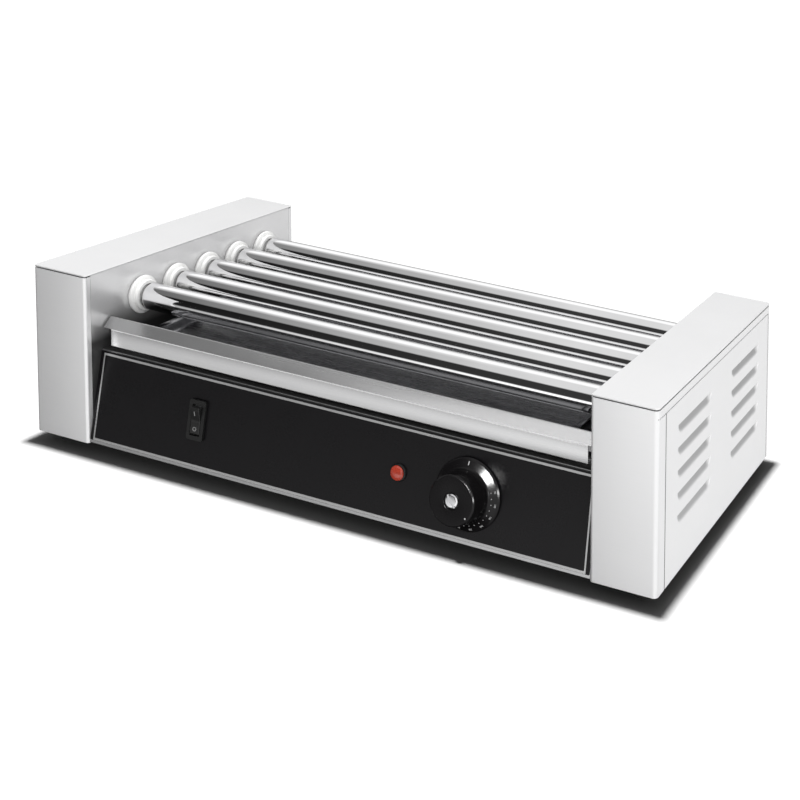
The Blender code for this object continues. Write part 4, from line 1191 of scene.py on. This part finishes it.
def lamp(name, kind, way, lit, blockers, **settings):
    """A light that shines along `way`, on the pieces in `lit` only."""
    light = bpy.data.lights.new(name, kind)
    for key, value in settings.items():
        setattr(light, key, value)
    ob = in_scene(name, light)
    ob.rotation_euler = Vector(way).to_track_quat("-Z", "Y").to_euler()
    ob.visible_glossy = False
    ob.light_linking.receiver_collection = lit
    ob.light_linking.blocker_collection = blockers
    return ob


def sun(name, way, energy, degrees, lit, blockers):
    lamp(name, "SUN", way, lit, blockers, energy=energy, angle=math.radians(degrees))


def shadow_card():
    """Unseen card over the grill, so that its shadow is one slab with a soft margin."""
    ob = stage_sheet("shadow_card", HALF + 9.0 * MM, FRONT - 8.5 * MM, BACK + 9.0 * MM, Z_TOP)
    for kind in ("camera", "diffuse", "glossy", "transmission", "volume_scatter"):
        setattr(ob, "visible_" + kind, False)
    return ob


def fill(name, place, target, size, power, lit=GRILL, blockers=GRILL):
    """Soft box that lights the grill, or some of it, and leaves the floor alone."""
    ob = lamp(name, "AREA", Vector(target) - Vector(place), lit, blockers,
              shape="RECTANGLE", size=size[0], size_y=size[1], energy=power)
    ob.location = place
    return ob


DIAL_PIECES = ("thermostat_knob", "knob_", "dial_")
FLOOR = collection("floor_only", [floor()])
DIAL_ONLY = collection("dial_only", [bpy.data.objects["thermostat_knob_moulding"]])
RAIL_ONLY = collection("rail_only", [bpy.data.objects["drip_tray_rail"]])
MIDDLE, DIAL_AT, RAIL_AT = (0.1, -0.1, 0.08), (0.127, -0.18, 0.06), (0.0, -0.17, 0.10)
world()
sun("floor_key", (0.0, 0.0, -1.0), 13.0, 3.5, FLOOR,
    collection("shadow_makers", [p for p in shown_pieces() if not p.name.startswith(DIAL_PIECES)]
               + [shadow_card()]))
sun("key", (22.0, -30.0, -158.0), 2.05, 4.0, GRILL, GRILL)
fill("front_fill", (0.9, -1.4, 0.9), MIDDLE, (1.4, 1.0), 16.0)
fill("right_fill", (1.7, -0.2, 0.3), (0.2, 0.0, 0.08), (1.2, 0.6), 8.0)
fill("top_fill", (-0.2, -0.3, 1.6), (0.0, -0.05, 0.1), (1.4, 1.0), 5.0)
for name, place, target, size, power, lit, blockers in (
        ("skirt_light", (0.347, -1.26, 0.75), DIAL_AT, (0.42, 0.42), 85.0, DIAL_ONLY, GRILL),
        ("grip_light", (1.25, -0.78, 0.30), DIAL_AT, (0.25, 0.25), 9.0, DIAL_ONLY, GRILL),
        ("rail_face_light", (-0.36, -0.96, -0.28), RAIL_AT, (1.3, 0.3), 0.41, RAIL_ONLY,
         DIAL_ONLY),
        ("rail_slope_light", (0.11, -0.42, 1.02), RAIL_AT, (1.3, 0.5), 2.0, RAIL_ONLY,
         DIAL_ONLY)):
    fill(name, place, target, size, power, lit, blockers).visible_glossy = True

# ---------------------------------------------------------------------- camera
CAMERA_AT = Vector((0.65300, -1.12309, 0.58076))
AZIMUTH, ELEVATION, ROLL = (math.radians(a) for a in (16.8902, 4.6781, 6.0227))
LENS, SENSOR = 62.033, 36.0
SHIFT = (-0.46242, -0.54273)  # of the lens, in sensor widths
LEAN = 0.0869                 # sideways lean of the picture's upright direction


def camera():
    """Product shot: a shifted lens, and a slight lean that keeps the uprights parallel.

    Both are a skew of the empty that carries the camera. Without its mount the camera is
    a plain one.
    """
    ca, sa = math.cos(AZIMUTH), math.sin(AZIMUTH)
    ce, se = math.cos(ELEVATION), math.sin(ELEVATION)
    cr, sr = math.cos(ROLL), math.sin(ROLL)
    back = Vector((sa * ce, -ca * ce, se))
    right = Vector((ca, sa, 0.0))
    up = back.cross(right)
    across, upright = cr * right + sr * up, -sr * right + cr * up
    leaning = LEAN * across + math.sqrt(1.0 - LEAN ** 2) * upright
    shifted = back - (SENSOR / LENS) * (SHIFT[0] * across + SHIFT[1] * leaning)
    straight = Matrix((across, upright, back)).transposed().to_4x4()
    skewed = Matrix((across, leaning, shifted.normalized())).transposed().to_4x4()
    data = bpy.data.cameras.new("product_camera")
    data.sensor_width = SENSOR
    data.lens = LENS * shifted.length
    ob, mount = in_scene("product_camera", data), in_scene("camera_mount", None)
    at = Matrix.Translation(CAMERA_AT)
    ob.matrix_world = at @ straight
    ob.parent = mount
    ob.matrix_parent_inverse = at @ skewed @ straight.inverted() @ at.inverted()
    bpy.context.scene.camera = ob


camera()
scene = bpy.context.scene
scene.view_settings.view_transform = "Standard"
scene.view_settings.look = "None"
